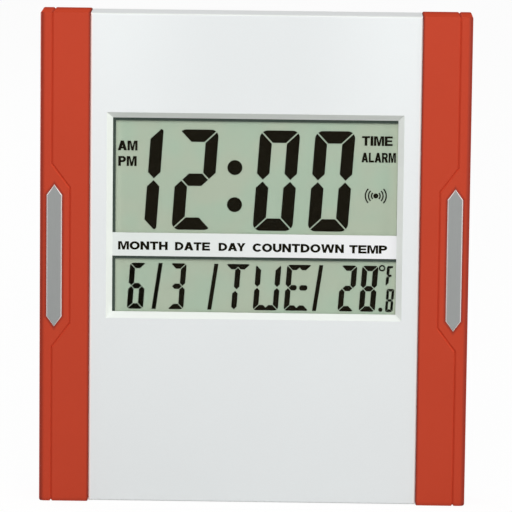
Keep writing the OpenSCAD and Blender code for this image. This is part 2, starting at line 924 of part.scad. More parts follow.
module date_figures() {
    top = date_z + small_h / 2;
    bottom = date_z - small_h / 2;
    figure(seven[6], month_x, date_z, small_w, small_h, small_stroke, small_gap);
    figure(seven[3], day_x, date_z, small_w, small_h, small_stroke, small_gap);
    for (x = slash_xs)
        slash(x);
    figure("mil", letter_xs[0], date_z, letter_w, small_h, small_stroke, small_gap);
    figure("bcefn", letter_xs[1], date_z, letter_w, small_h, small_stroke, small_gap);
    figure("efhkmn", letter_xs[2], date_z, letter_w, small_h, small_stroke, small_gap);
    figure(seven[2], temp_xs[0], date_z, small_w, small_h, small_stroke, small_gap);
    figure(seven[8], temp_xs[1], date_z, small_w, small_h, small_stroke, small_gap);
    figure(seven[8], tenths_x, bottom + tenths_h / 2, tenths_w, tenths_h, tenths_stroke, small_gap / 2);
    translate([point_x, bottom + point_r])
        circle(point_r);
    translate([ring_x, top - ring_drop])
        difference() {
            circle(ring_r);
            circle(ring_r - ring_t);
        }
    figure("aefg", unit_x, top - unit_h / 2, unit_w, unit_h, unit_stroke, small_gap / 2);
}

module segment_layer() {
    color([0.12, 0.11, 0.07])
        slab(cell_y, rear_glass_y)
            children();
}

module main_lcd_gasket() {
    gasket(main_glass, main_low, main_high);
}

module main_lcd_front_glass() {
    front_glass(main_glass[0], main_glass[1] + ledge_w);
}

module main_lcd_seal() {
    glass_seal(main_glass);
}

module main_lcd_segments() {
    segment_layer()
        time_figures();
}

module main_lcd_rear_glass() {
    rear_glass(main_glass);
}

module main_lcd_reflector() {
    reflector(main_glass);
}

module main_lcd_contact_strip() {
    contact_strip(main_glass[1] + ledge_w / 2);
}

module date_lcd_gasket() {
    gasket(date_glass, date_low, date_high);
}

module date_lcd_front_glass() {
    front_glass(date_glass[0] - ledge_w, date_glass[1]);
}

module date_lcd_seal() {
    glass_seal(date_glass);
}

module date_lcd_segments() {
    segment_layer()
        date_figures();
}

module date_lcd_rear_glass() {
    rear_glass(date_glass);
}

module date_lcd_reflector() {
    reflector(date_glass);
}

module date_lcd_contact_strip() {
    contact_strip(date_glass[0] - ledge_w / 2);
}

// Boards and what sits on them

// A screw whose head lies on the plane y, towards side, with a shank of a length the other way
module screw(x, z, y, side, length) {
    head = [y, y + side * head_h];
    shank = [y - side * length, y + side * root];
    color([0.62, 0.62, 0.6]) {
        rod(x, z, min(head), max(head), head_r);
        rod(x, z, min(shank), max(shank), screw_r);
    }
}

module main_board() {
    color([0.16, 0.4, 0.24])
        difference() {
            slab(board_y, board_back_y)
                rect(-frame_x, board_low, frame_x, board_high);
            for (p = board_screws_at)
                rod(p[0], p[1], board_y - over, board_back_y + over, screw_r + screw_pass);
        }
}

module board_screws() {
    for (p = board_screws_at)
        screw(p[0], p[1], board_back_y, 1, board_t + shank_len);
}

module controller_chip() {
    drop_r = 7;
    drop_h = 1.7;
    ball_r = (drop_r * drop_r + drop_h * drop_h) / (2 * drop_h);
    color([0.07, 0.07, 0.08])
        translate([0, board_back_y, window_z])
            rotate([-90, 0, 0])
                rotate_extrude()
                    intersection() {
                        translate([0, drop_h - ball_r])
                            circle(ball_r, $fn = 180);
                        square(2 * drop_r);
                    }
}

module quartz_crystal() {
    can = [11, 4.6, 3.6];
    end_r = can[1] / 2;
    straight = can[0] - can[1];
    x = 24;
    color([0.75, 0.75, 0.76])
        slab(board_back_y, board_back_y + can[2])
            for (side = [-1, 1])
                union() {
                    rect(x - straight / 2, window_z - end_r, x + straight / 2, window_z + end_r);
                    translate([x + side * straight / 2, window_z])
                        circle(end_r);
                }
}

module temperature_sensor() {
    bead_r = 1.3;
    bead_h = 2.6;
    color([0.2, 0.45, 0.3])
        rod(frame_x - 3 * bead_r, board_low + 3 * bead_r, board_back_y, board_back_y + bead_h, bead_r);
}

module key_board() {
    color([0.16, 0.4, 0.24])
        difference() {
            slab(key_front_y, key_back_y)
                rect(
                    -button_x - key_board_x, key_low - key_board_end,
                    -button_x + key_board_x, key_high + key_board_end
                );
            for (z = key_screw_zs)
                rod(-button_x, z, key_front_y - over, key_back_y + over, screw_r + screw_pass);
        }
}

module key_switches() {
    color([0.12, 0.12, 0.13])
        for (z = button_zs)
            union() {
                slab(key_back_y, key_back_y + switch_h)
                    translate([-button_x, z])
                        square(switch_w, center = true);
                rod(-button_x, z, key_back_y, plunger_y, plunger_r);
            }
}

module board_header() {
    pins = 6;
    pitch = 2.54;
    notch = 0.6;
    half = pins * pitch / 2;
    z = (board_low + key_high + key_board_end) / 2;
    color([0.1, 0.1, 0.11])
        slab(board_back_y, key_front_y)
            difference() {
                rect(-button_x - half, z - pitch / 2, -button_x + half, z + pitch / 2);
                for (i = [1:pins - 1], side = [-1, 1])
                    translate([-button_x - half + i * pitch, z + side * pitch / 2])
                        rotate(45)
                            square(notch, center = true);
            }
}

module key_board_screws() {
    for (z = key_screw_zs)
        screw(-button_x, z, key_front_y, -1, board_t + shank_len);
}

// Buttons: a domed cap, a flange that stops it and a stem over its switch
module button(i) {
    dome_r = 22;
    z = button_zs[i];
    color([0.8, 0.81, 0.81])
        union() {
            intersection() {
                rod(-button_x, z, button_plate_y - root, button_top_y, button_r);
                translate([-button_x, button_top_y - dome_r, z])
                    sphere(dome_r);
            }
            rod(-button_x, z, button_plate_y - button_flange_t, button_plate_y, button_flange_r);
            rod(-button_x, z, stem_y, button_plate_y - button_flange_t + root, stem_r);
        }
}

module mode_button() {
    button(4);
}

module set_button() {
    button(3);
}

module up_button() {
    button(2);
}

module down_button() {
    button(1);
}

module alarm_button() {
    button(0);
}

// Tubes: rings of points along a route, joined by triangles

function unit(v) = v / norm(v);

function tangent(path, i) = unit(path[min(i + 1, len(path) - 1)] - path[max(i - 1, 0)]);

function ring(centre, u, v, r, sides) =
    [for (k = [0:sides - 1]) centre + r * (cos(360 * k / sides) * u + sin(360 * k / sides) * v)];

function tube_faces(rings, sides) = concat(
    [for (k = [1:sides - 2]) [0, k, k + 1]],
    [for (k = [1:sides - 2]) [for (j = [0, k + 1, k]) (rings - 1) * sides + j]],
    [for (i = [0:rings - 2], k = [0:sides - 1])
        [i * sides + k, (i + 1) * sides + k, (i + 1) * sides + (k + 1) % sides]],
    [for (i = [0:rings - 2], k = [0:sides - 1])
        [i * sides + k, (i + 1) * sides + (k + 1) % sides, i * sides + (k + 1) % sides]]
);

// across is a direction that no part of the route follows
module tube(path, r, sides, across) {
    polyhedron(
        points = [for (i = [0:len(path) - 1])
            let (t = tangent(path, i), u = unit(cross(across, t)), v = cross(t, u))
            each ring(path[i], u, v, r, sides)],
        faces = tube_faces(len(path), sides)
    );
}

// Buzzer

module buzzer_disc() {
    color([0.8, 0.66, 0.3])
        rod(buzzer_x, buzzer_z, buzzer_y - buzzer_t, buzzer_y, buzzer_r);
}

module buzzer_ceramic() {
    color([0.93, 0.92, 0.88])
        rod(buzzer_x, buzzer_z, buzzer_y - buzzer_t - ceramic_t, buzzer_y - buzzer_t, ceramic_r);
}

module buzzer_leads() {
    color([0.75, 0.2, 0.15])
        for (p = buzzer_lead_at)
            tube([
                [p[0], buzzer_y - buzzer_t - p[2], buzzer_z + p[1]],
                [p[0], buzzer_y - 2, buzzer_z + p[1]],
                [p[0] + 1, buzzer_y - 5, buzzer_z + p[1] - 2],
                [p[0] + 1, board_back_y + 3, buzzer_z + p[1] - 5],
                [p[0], board_back_y + 1.2, buzzer_z + p[1] - 6],
                [p[0], board_back_y, buzzer_z + p[1] - 6]
            ], buzzer_lead_r, 8, [1, 0, 0]);
}

// Battery bay

// One cell stands on its flat end and the other on its button
module battery_cell() {
    cylinder(r = cell_r, h = cell_can);
    cylinder(r = cell_nub_r, h = cell_len);
}

module battery_cells() {
    color([0.25, 0.45, 0.3]) {
        translate([bay_x - cell_x, cell_axis_y, bay_top - contact_t - cell_len])
            battery_cell();
        translate([bay_x + cell_x, cell_axis_y, bay_z + contact_t + cell_len])
            rotate([180, 0, 0])
                battery_cell();
    }
}

// Centre line of a tapering coil with straight ends, one wire thickness long
function coil_path() =
    let (rings = 8 * spring_turns, lead = 2 * wire_r, rise = spring_len - 2 * lead)
    concat(
        [[spring_r, 0, 0]],
        [for (i = [0:rings])
            let (share = i / rings, turn = 360 * share * spring_turns)
            let (r = spring_r + (spring_tip_r - spring_r) * share)
            [r * cos(turn), r * sin(turn), lead + rise * share]],
        [[spring_tip_r, 0, spring_len]]
    );

// Rings of the coil face along the wire and are turned by its radius
module coil() {
    sides = 6;
    path = coil_path();
    polyhedron(
        points = [for (i = [0:len(path) - 1])
            let (t = tangent(path, i), out = unit([path[i][0], path[i][1], 0]))
            let (v = unit(cross(t, out)), u = cross(v, t))
            each ring(path[i], u, v, wire_r, sides)],
        faces = tube_faces(len(path), sides)
    );
}

module battery_springs() {
    color([0.8, 0.8, 0.82]) {
        translate([bay_x - cell_x, cell_axis_y, bay_z + contact_t])
            coil();
        translate([bay_x + cell_x, cell_axis_y, bay_top - contact_t])
            rotate([180, 0, 0])
                coil();
    }
}

module battery_contacts() {
    rim = 1.5;
    reach = cell_r - rim;
    color([0.82, 0.82, 0.84]) {
        block(
            [bay_x - cell_x - reach, cell_axis_y - reach, bay_z],
            [bay_x + cell_x + reach, cell_axis_y + reach, bay_z + contact_t]
        );
        for (x = [lead_x, lead_x2])
            union() {
                block(
                    [x - reach, cell_axis_y - reach, bay_top - contact_t],
                    [x + reach, cell_axis_y + reach, bay_top]
                );
                block(
                    [x - tab_w / 2, cell_axis_y - contact_t, bay_top - contact_t],
                    [x + tab_w / 2, cell_axis_y, tab_top]
                );
            }
    }
}

module battery_lead(x) {
    tube([for (p = lead_route) [x, p[0], p[1]]], lead_r, 8, [1, 0, 0]);
}

module battery_lead_red() {
    color([0.75, 0.12, 0.1])
        battery_lead(lead_x);
}

module battery_lead_black() {
    color([0.1, 0.1, 0.1])
        battery_lead(lead_x2);
}

// Door: round hinge edge with two pins, a latch tongue between two slots and grip lines
module battery_door() {
    half = pocket_x - door_gap;
    pin_end = pocket_x + door_pin_len;
    top = pocket_top - door_gap;
    slot_len = 9;
    slot_w = 1;
    grip_w = 0.8;
    color([0.8, 0.81, 0.81])
        translate([bay_x, 0, 0])
            difference() {
                union() {
                    slab(door_in_y, back_y)
                        rect(-half, door_axis_z, half, top);
                    axle(door_axis_y, door_axis_z, -half, half, door_edge_r);
                    axle(door_axis_y, door_axis_z, -pin_end, pin_end, door_pin_r);
                }
                slab(door_in_y - over, back_y + over)
                    for (side = [-1, 1])
                        translate([side * (latch_w + slot_w) / 2, 0])
                            rect(-slot_w / 2, top - slot_len, slot_w / 2, top + over);
                for (i = [0:2])
                    translate([-latch_w / 4, back_y, top - 3 - 2 * i])
                        rotate([0, 90, 0])
                            cylinder(r = grip_w / 2, h = latch_w / 2, $fn = 4);
            }
}

// Stand: a plate on a round barrel, with ribs inside and a rounded foot
module stand() {
    top = stand_z + heel_z;
    plate_y = stand_out_y - stand_t;
    rib_x = stand_x - stand_rib_t;
    rib_z = foot_z + foot_r;
    color([0.8, 0.81, 0.81])
        union() {
            slab(plate_y, stand_out_y)
                difference() {
                    rect(-stand_x, foot_z, stand_x, top);
                    round_off(-stand_x, foot_z, 2, foot_r);
                    round_off(stand_x, foot_z, 3, foot_r);
                }
            axle(stand_axis_y, stand_z, -stand_x, stand_x, barrel_r);
            axle(stand_axis_y, stand_z, -stand_x - pin_len, stand_x + pin_len, pin_r);
            for (x = [-rib_x, -stand_rib_t / 2, rib_x - stand_rib_t])
                block([x, stand_rib_y, rib_z], [x + stand_rib_t, plate_y + root, stand_z]);
            block([-rib_x, stand_rib_y, rib_z], [rib_x, plate_y + root, rib_z + stand_rib_t]);
        }
}

// Rear case

module case_shell() {
    difference() {
        slab(rim_y, back_y)
            stepped_outline(0);
        slab(rim_y - over, case_in_y)
            stepped_outline(wall);
        bar(-half_w, half_w)
            union() {
                round_off(back_y, high_z, 0, case_r);
                round_off(back_y, low_z, 3, case_r);
            }
    }
}

module key_pocket(grow, y0, y1) {
    half = key_r + key_room;
    slab(y0, y1)
        rect(-half - grow, key_z - half - grow, half + grow, key_top + grow);
}

module keyhole() {
    slab(case_in_y - over, back_y + over)
        rect(-key_slot_r, key_z, key_slot_r, key_z + key_rise);
    rod(0, key_z + key_rise, case_in_y - over, back_y + over, key_slot_r);
    rod(0, key_z, case_in_y - over, back_y + over, key_r);
}

module stand_housing() {
    block(
        [-recess_x - ear_t, recess_y - wall, low_z],
        [recess_x + ear_t, back_y - case_r, stand_z + recess_top + wall]
    );
}

module stand_cut() {
    block([-recess_x, recess_y, -over], [recess_x, back_y + over, stand_z + recess_top]);
    axle(stand_axis_y, stand_z, -recess_x - ear_t - over, recess_x + ear_t + over, pin_r + pin_fit);
}

module bay_housing() {
    block(
        [bay_x - bay_half - bay_t, bay_floor_y - bay_t, bay_z - bay_t],
        [bay_x + bay_half + bay_t, case_in_y + root, bay_top + bay_t]
    );
    block(
        [bay_x - door_frame_x, door_frame_y, door_axis_z - hinge_room - door_frame_rim],
        [bay_x + door_frame_x, case_in_y + root, pocket_top + door_frame_rim]
    );
}

module bay_cut() {
    pin_end = pocket_x + door_pin_len + door_gap;
    block([bay_x - bay_half, bay_floor_y, bay_z], [bay_x + bay_half, back_y + over, bay_top]);
    translate([bay_x, 0, 0]) {
        slab(case_in_y, back_y + over)
            rect(-pocket_x, door_axis_z - hinge_room, pocket_x, pocket_top);
        slab(hinge_floor_y, back_y + over)
            rect(-pocket_x, door_axis_z - hinge_room, pocket_x, door_axis_z + hinge_room);
    }
    translate([bay_x, 0, 0])
        axle(door_axis_y, door_axis_z, -pin_end, pin_end, door_pin_r + pin_fit);
    for (x = [lead_x, lead_x2])
        block(
            [x - tab_w / 2 - fit, cell_axis_y - contact_t - fit, bay_top - over],
            [x + tab_w / 2 + fit, cell_axis_y + fit, bay_top + bay_t + over]
        );
}

module button_housing() {
    half = recess_half + wall;
    slab(button_plate_y, case_in_y + root)
        rect(-button_x - half, key_low - wall, -button_x + half, key_high + wall);
    for (z = key_screw_zs)
        rod(-button_x, z, key_back_y, case_in_y + root, boss_r);
}

module button_cut() {
    slab(button_floor_y, back_y + over)
        round_rect(-button_x - recess_half, key_low, -button_x + recess_half, key_high, recess_half / 2);
    for (z = button_zs)
        rod(-button_x, z, button_plate_y - over, back_y, button_r + button_fit);
    for (z = key_screw_zs)
        rod(-button_x, z, key_back_y - over, key_back_y + hole_len, screw_r + hole_fit);
}

module buzzer_seat() {
    difference() {
        rod(buzzer_x, buzzer_z, buzzer_y, case_in_y + root, buzzer_r);
        rod(buzzer_x, buzzer_z, buzzer_y - over, case_in_y + over, buzzer_r - buzzer_rib_t);
    }
}

module sound_holes() {
    ring_at = [for (turn = [0:60:300]) sound_ring * [cos(turn), sin(turn)]];
    for (p = concat([[0, 0]], ring_at))
        rod(buzzer_x + p[0], buzzer_z + p[1], case_in_y - over, back_y + over, sound_r);
}

module hook_slots() {
    for (z = hook_zs)
        at_both_sides()
            block(
                [case_x - wall - over, -hook_t / 2 - fit, z - hook_w / 2 - fit],
                [case_x + over, hook_t / 2 + fit, z + hook_w / 2 + fit]
            );
}

module rear_case() {
    color([0.83, 0.84, 0.84])
        difference() {
            union() {
                case_shell();
                key_pocket(key_box_t, case_in_y - key_depth - key_box_t, case_in_y + root);
                stand_housing();
                bay_housing();
                button_housing();
                buzzer_seat();
                for (x = [-screw_x, screw_x], z = screw_zs)
                    rod(x, z, seat_y, case_in_y + root, post_r);
            }
            key_pocket(0, case_in_y - key_depth, case_in_y);
            keyhole();
            stand_cut();
            bay_cut();
            button_cut();
            sound_holes();
            hook_slots();
            for (x = [-screw_x, screw_x], z = screw_zs) {
                rod(x, z, seat_y + seat_t, back_y + over, well_r);
                rod(x, z, seat_y - over, back_y, screw_r + screw_pass);
            }
        }
}

module case_screws() {
    for (x = [-screw_x, screw_x], z = screw_zs)
        screw(x, z, seat_y + seat_t, 1, seat_t + shank_len);
}

front_panel();
left_side_rail();
right_side_rail();
left_trim_strip();
right_trim_strip();
rear_case();
main_lcd_gasket();
main_lcd_front_glass();
main_lcd_seal();
main_lcd_segments();
main_lcd_rear_glass();
main_lcd_reflector();
main_lcd_contact_strip();
date_lcd_gasket();
date_lcd_front_glass();
date_lcd_seal();
date_lcd_segments();
date_lcd_rear_glass();
date_lcd_reflector();
date_lcd_contact_strip();
main_board();
controller_chip();
quartz_crystal();
temperature_sensor();
board_screws();
key_board();
key_switches();
board_header();
key_board_screws();
mode_button();
set_button();
up_button();
down_button();
alarm_button();
buzzer_disc();
buzzer_ceramic();
buzzer_leads();
battery_cells();
battery_springs();
battery_contacts();
battery_lead_red();
battery_lead_black();
battery_door();
stand();
case_screws();
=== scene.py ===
"""Digital calendar clock: finishes, printed words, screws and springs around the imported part.

Everything is in metres in the part's own frame: X to the right, Y to the back, Z up.
"""

import json
import math

import bmesh
import bpy
import numpy as np
from mathutils import Matrix, Vector


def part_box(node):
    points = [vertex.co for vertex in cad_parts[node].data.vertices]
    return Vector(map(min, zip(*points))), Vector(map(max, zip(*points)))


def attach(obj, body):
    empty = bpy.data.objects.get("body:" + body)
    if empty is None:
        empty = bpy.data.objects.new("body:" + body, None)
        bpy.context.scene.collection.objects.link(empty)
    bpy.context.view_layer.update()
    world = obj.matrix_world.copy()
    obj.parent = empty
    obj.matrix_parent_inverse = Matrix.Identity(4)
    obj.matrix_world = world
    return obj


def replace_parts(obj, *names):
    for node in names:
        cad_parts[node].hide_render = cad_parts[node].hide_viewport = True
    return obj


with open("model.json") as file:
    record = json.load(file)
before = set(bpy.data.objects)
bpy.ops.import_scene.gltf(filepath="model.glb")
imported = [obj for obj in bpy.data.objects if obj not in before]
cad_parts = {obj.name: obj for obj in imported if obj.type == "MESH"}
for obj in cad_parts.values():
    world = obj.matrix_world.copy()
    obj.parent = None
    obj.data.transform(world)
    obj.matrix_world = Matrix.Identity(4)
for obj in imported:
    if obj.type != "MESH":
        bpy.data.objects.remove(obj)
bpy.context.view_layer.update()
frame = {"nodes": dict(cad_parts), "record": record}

MM = 0.001
BODY = "clock_body"
WHITE = (1.0, 1.0, 1.0, 1.0)

# Camera: place, turn to the right, dip below the horizon, roll, lens on its sensor, and how far it sees
CAMERA_PLACE = (0.0235, -2.17944, 0.46711)
CAMERA_TURN = -0.0104
CAMERA_DIP = 0.1534
CAMERA_ROLL = 0.0113
LENS_MM = 294.31
SENSOR_MM = 36.0
SIGHT = 100.0

# Studio: light of the sky on the object, what the floor throws back, its colour and how much shadow it shows
SKY = 0.585
FLOOR_BOUNCE = 0.40
FLOOR_PALE = 0.95
FLOOR_SHADE = 0.07
FLOOR_HALF = 8.0
# Lamps: place, point that it shines on, size and power
LAMPS = {
    "key_lamp": ((0.0, -1.2, 0.95), (0.0, 0.0, 0.15), 1.0, 10.4),
    "right_lamp": ((0.9, -0.45, 0.3), (0.0, 0.0, 0.18), 0.3, 2.2),
    "near_lamp": ((-0.28, -0.26, 0.55), (-0.09, 0.0, 0.25), 0.2, 0.28),
    "back_lamp": ((-1.5, 1.45, 0.25), (0.0, 0.0, 0.13), 0.5, 28.0),
}

# Rails: radius of the outer edge and where it begins, inner edge, back, and height of a trim strip's point
RAIL_ROUND = 3.0 * MM
RAIL_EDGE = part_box("right_side_rail")[1].x - RAIL_ROUND
RAIL_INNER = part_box("right_side_rail")[0].x
RAIL_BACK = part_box("right_side_rail")[1].y
TRIM_POINT = 5.5 * MM

# Panel: its edge beside a rail, and the face of the bar behind its front
PANEL_GAP = 0.2 * MM
PANEL_EDGE = RAIL_INNER - PANEL_GAP
BAR_DEPTH = 2.8 * MM
BAR_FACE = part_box("front_panel")[0].y + BAR_DEPTH

# Printed words stand out of the bar by the ink and are rooted in it. Words of the time display fill its gap.
INK = 0.06 * MM
INK_ROOT = 0.02 * MM
DISPLAY_GAP = [corner.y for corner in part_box("main_lcd_segments")]

# Words: letters, left, right, bottom and top in millimetres
BAR_WORDS = {
    "month": ("MONTH", -71.45, -45.45, 134.2, 138.6),
    "date": ("DATE", -41.6, -23.25, 134.15, 138.5),
    "day": ("DAY", -18.7, -4.65, 134.1, 138.35),
    "countdown": ("COUNTDOWN", -0.9, 46.95, 133.8, 138.3),
    "temp": ("TEMP", 49.8, 69.65, 133.7, 138.05),
}
DISPLAY_WORDS = {
    "am": ("AM", -72.0, -61.7, 186.45, 191.55),
    "pm": ("PM", -71.7, -62.1, 178.2, 183.4),
    "time": ("TIME", 55.7, 71.65, 190.45, 195.45),
    "alarm": ("ALARM", 55.55, 73.45, 181.65, 186.75),
}

# Block letters in a box one unit high: stem, bar and gap between letters in two styles, and natural widths.
# A stem grows and shrinks with the widths.
BAR_STYLE = (0.32, 0.235, 0.08)
DISPLAY_STYLE = (0.34, 0.20, 0.07)
LETTER_WIDTHS = {
    "A": 1.18, "C": 1.06, "D": 1.08, "E": 1.0, "H": 1.05, "I": 0.34, "L": 0.95, "M": 1.3,
    "N": 1.06, "O": 1.22, "P": 1.0, "R": 1.08, "T": 1.0, "U": 1.05, "W": 1.6, "Y": 1.1,
}
# Pairs of letters that stand closer than the gap, and by how much
CLOSER = {"AY": 0.13, "AT": 0.04}
# Points along a round stroke
BOW_POINTS = 17

# Alarm sign: a dot and arcs on both sides, as radius and half angle in degrees, their stroke and fineness
SIGN_AT = (63.3 * MM, 164.0 * MM)
SIGN_DOT = 1.3 * MM
SIGN_ARCS = ((2.25 * MM, 44), (3.8 * MM, 44), (5.45 * MM, 43))
SIGN_STROKE = 0.68 * MM
DOT_POINTS = 40
ARC_POINTS = 25

# Full bars on the slim strokes of the unit letter: outlines in millimetres about its middle, which lies this
# far above the foot of the date figures, how far they lean, and how far they stay inside the strokes' faces
UNIT_BARS = (
    ((-1.3, 5.3), (-1.05, 4.25), (1.2, 4.25), (1.45, 4.5), (1.5, 5.3)),
    ((-0.7, 0.2), (-0.4, -0.35), (0.95, -0.35), (1.2, 0.2), (0.95, 0.75), (-0.4, 0.75)),
)
UNIT_X = 71.1 * MM
UNIT_RISE = 19.05 * MM
UNIT_LEAN = math.tan(math.radians(3.9))
UNIT_INSET = 0.005 * MM

# Screws: head, cross recess, shank, thread and tip, the turn from one screw to the next, the radius of the
# first ring, which is also the step from the seat to the thread, and their fineness
HEAD_R = 2.6 * MM
HEAD_H = 1.8 * MM
HEAD_FILLET = 0.5 * MM
HEAD_CROWN = 0.25 * MM
RECESS_R = 1.5 * MM
RECESS_W = 0.36 * MM
RECESS_D = 1.0 * MM
RECESS_SLOPE = 0.14 * MM
SHANK_R = 1.25 * MM
THREAD_PITCH = 1.0 * MM
THREAD_D = 0.28 * MM
TIP_LENGTH = 1.5 * MM
TIP_SHARE = 0.3
SCREW_SPIN = 0.7
SCREW_STEP = 0.02 * MM
SCREW_AROUND = 48
HEAD_RINGS = 16
RIM_RINGS = 6
THREAD_RINGS = 8

# Battery cells, and springs: radius at the wide and the narrow end, wire, turns, and their fineness
CELL_LENGTH = 50.5 * MM
SPRING_R = 4.6 * MM
SPRING_TIP_R = 3.2 * MM
WIRE_R = 0.35 * MM
SPRING_TURNS = 4
TURN_RINGS = 28
WIRE_AROUND = 12

# Points nearer than this are one
WELD = 0.0005 * MM
# Scales of a place, for lines that run along X, along Z and, less drawn out, along a screw
ALONG_X = (0.03, 1.0, 1.0)
ALONG_Z = (1.0, 1.0, 0.03)
ALONG_SCREW = (1.0, 0.3, 1.0)


class Signal:
    """An output of a node. A sum on it adds a Math node."""

    def __init__(self, wiring, socket):
        self.wiring = wiring
        self.socket = socket

    def out(self, name):
        """Another output of the same node."""
        return Signal(self.wiring, self.socket.node.outputs[name])

    def math(self, operation, first, second=0.0):
        """A Math node on one or two values."""
        return self.wiring.add("Math", {"operation": operation}, {0: first, 1: second})

    def __add__(self, other):
        return self.math("ADD", self, other)

    def __radd__(self, other):
        return self.math("ADD", other, self)

    def __sub__(self, other):
        return self.math("SUBTRACT", self, other)

    def __rsub__(self, other):
        return self.math("SUBTRACT", other, self)

    def __mul__(self, other):
        return self.math("MULTIPLY", self, other)

    def __rmul__(self, other):
        return self.math("MULTIPLY", other, self)

    def __truediv__(self, other):
        return self.math("DIVIDE", self, other)

    def __pow__(self, other):
        return self.math("POWER", self, other)

    def __abs__(self):
        return self.math("ABSOLUTE", self)

    def larger(self, other):
        """The greater of two."""
        return self.math("MAXIMUM", self, other)

    def part(self):
        """What is left of it above a whole number."""
        return self.math("FRACT", self)

    def fold(self):
        """A triangle wave: 0.5 at whole numbers and 0 halfway between them."""
        return abs(self.part() - 0.5)

    def far(self, other):
        """Distance from an axis: the root of the sum of two squares."""
        return (self * self + other * other) ** 0.5

    def above(self, low, high):
        """0 below low, 1 above high and a smooth rise between them."""
        ends = {"Value": self, "From Min": low, "From Max": high}
        return self.wiring.add("MapRange", {"interpolation_type": "SMOOTHSTEP"}, ends)


class Wiring:
    """The nodes of a material or of the world."""

    def __init__(self, tree):
        self.tree = tree

    def add(self, kind, settings=None, sockets=None, output=0):
        """A node of a kind: its settings first, then the values or links of its sockets."""
        node = self.tree.nodes.new("ShaderNode" + kind)
        for setting, value in (settings or {}).items():
            setattr(node, setting, value)
        for socket, value in (sockets or {}).items():
            self.join(value, node.inputs[socket])
        return Signal(self, node.outputs[output])

    def join(self, value, socket):
        """A signal is linked to a socket, and a fixed value is set on it."""
        if isinstance(value, Signal):
            self.tree.links.new(value.socket, socket)
        else:
            socket.default_value = value

    def end(self, kind, surface):
        """The last node of the world or of a material, which takes the surface."""
        self.join(surface, self.tree.nodes.new("ShaderNodeOutput" + kind).inputs["Surface"])

    def seen(self):
        """1 for rays from the camera, from a gloss and through glass."""
        rays = self.add("LightPath", output="Is Camera Ray")
        return rays.larger(rays.out("Is Glossy Ray")).larger(rays.out("Is Transmission Ray"))


class Finish(Wiring):
    """A material on its way: the shader's fixed values are set first, and signals feed the rest."""

    def __init__(self, name, **fixed):
        self.material = bpy.data.materials.new(name)
        self.material.use_nodes = True
        super().__init__(self.material.node_tree)
        self.shader = self.tree.nodes["Principled BSDF"]
        self.feed(**fixed)
        self.place = self.add("TexCoord", output="Object")

    def feed(self, **sockets):
        """Values or signals for the shader, by socket name with _ for a space."""
        for name, value in sockets.items():
            title = name.replace("_", " ").title().replace("Ior", "IOR")
            self.join(value, self.shader.inputs[title])

    def axes(self):
        """The three coordinates of a point on the piece."""
        x = self.add("SeparateXYZ", sockets={0: self.place})
        return x, x.out("Y"), x.out("Z")

    def facing(self):
        """The three shares of the surface's normal."""
        normal = self.add("NewGeometry", output="Normal")
        x = self.add("SeparateXYZ", sockets={0: normal})
        return x, x.out("Y"), x.out("Z")

    def stretched(self, x, y, z):
        """The place with each coordinate multiplied, for a pattern that runs one way."""
        return self.add("Mapping", sockets={"Vector": self.place, "Scale": (x, y, z)})

    def noise(self, size, detail=2.0, place=None):
        """Clouds from 0 to 1 with lumps of a size in metres."""
        return self.add("TexNoise", sockets={
            "Vector": place or self.place, "Scale": 1.0 / size, "Detail": detail})

    def cells(self, size):
        """Distance from the middle of the nearest of many random cells of a size in metres."""
        return self.add("TexVoronoi", sockets={"Vector": self.place, "Scale": 1.0 / size})

    def mix(self, share, first, second):
        """A colour between two colours."""
        return self.add("Mix", {"data_type": "RGBA"}, {0: share, 6: first, 7: second}, 2)

    def vary(self, share, base, low, high):
        """A colour between two shades of one colour."""
        return self.mix(share, shade(base, low), shade(base, high))

    def bump(self, height, depth, strength=1.0):
        """A normal for relief of a depth in metres, from a height of 0 to 1."""
        return self.add("Bump", sockets={"Strength": strength, "Distance": depth, "Height": height})


def rgb(red, green, blue):
    """A colour that hides what is behind it."""
    return (red, green, blue, 1.0)


def shade(colour, factor):
    """A colour made lighter or darker."""
    return rgb(*(factor * share for share in colour[:3]))


def middle_and_half(node):
    """The middle of a node's box and half its size, each along X, Y and Z."""
    low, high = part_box(node)
    return [(a + b) / 2 for a, b in zip(low, high)], [(b - a) / 2 for a, b in zip(low, high)]


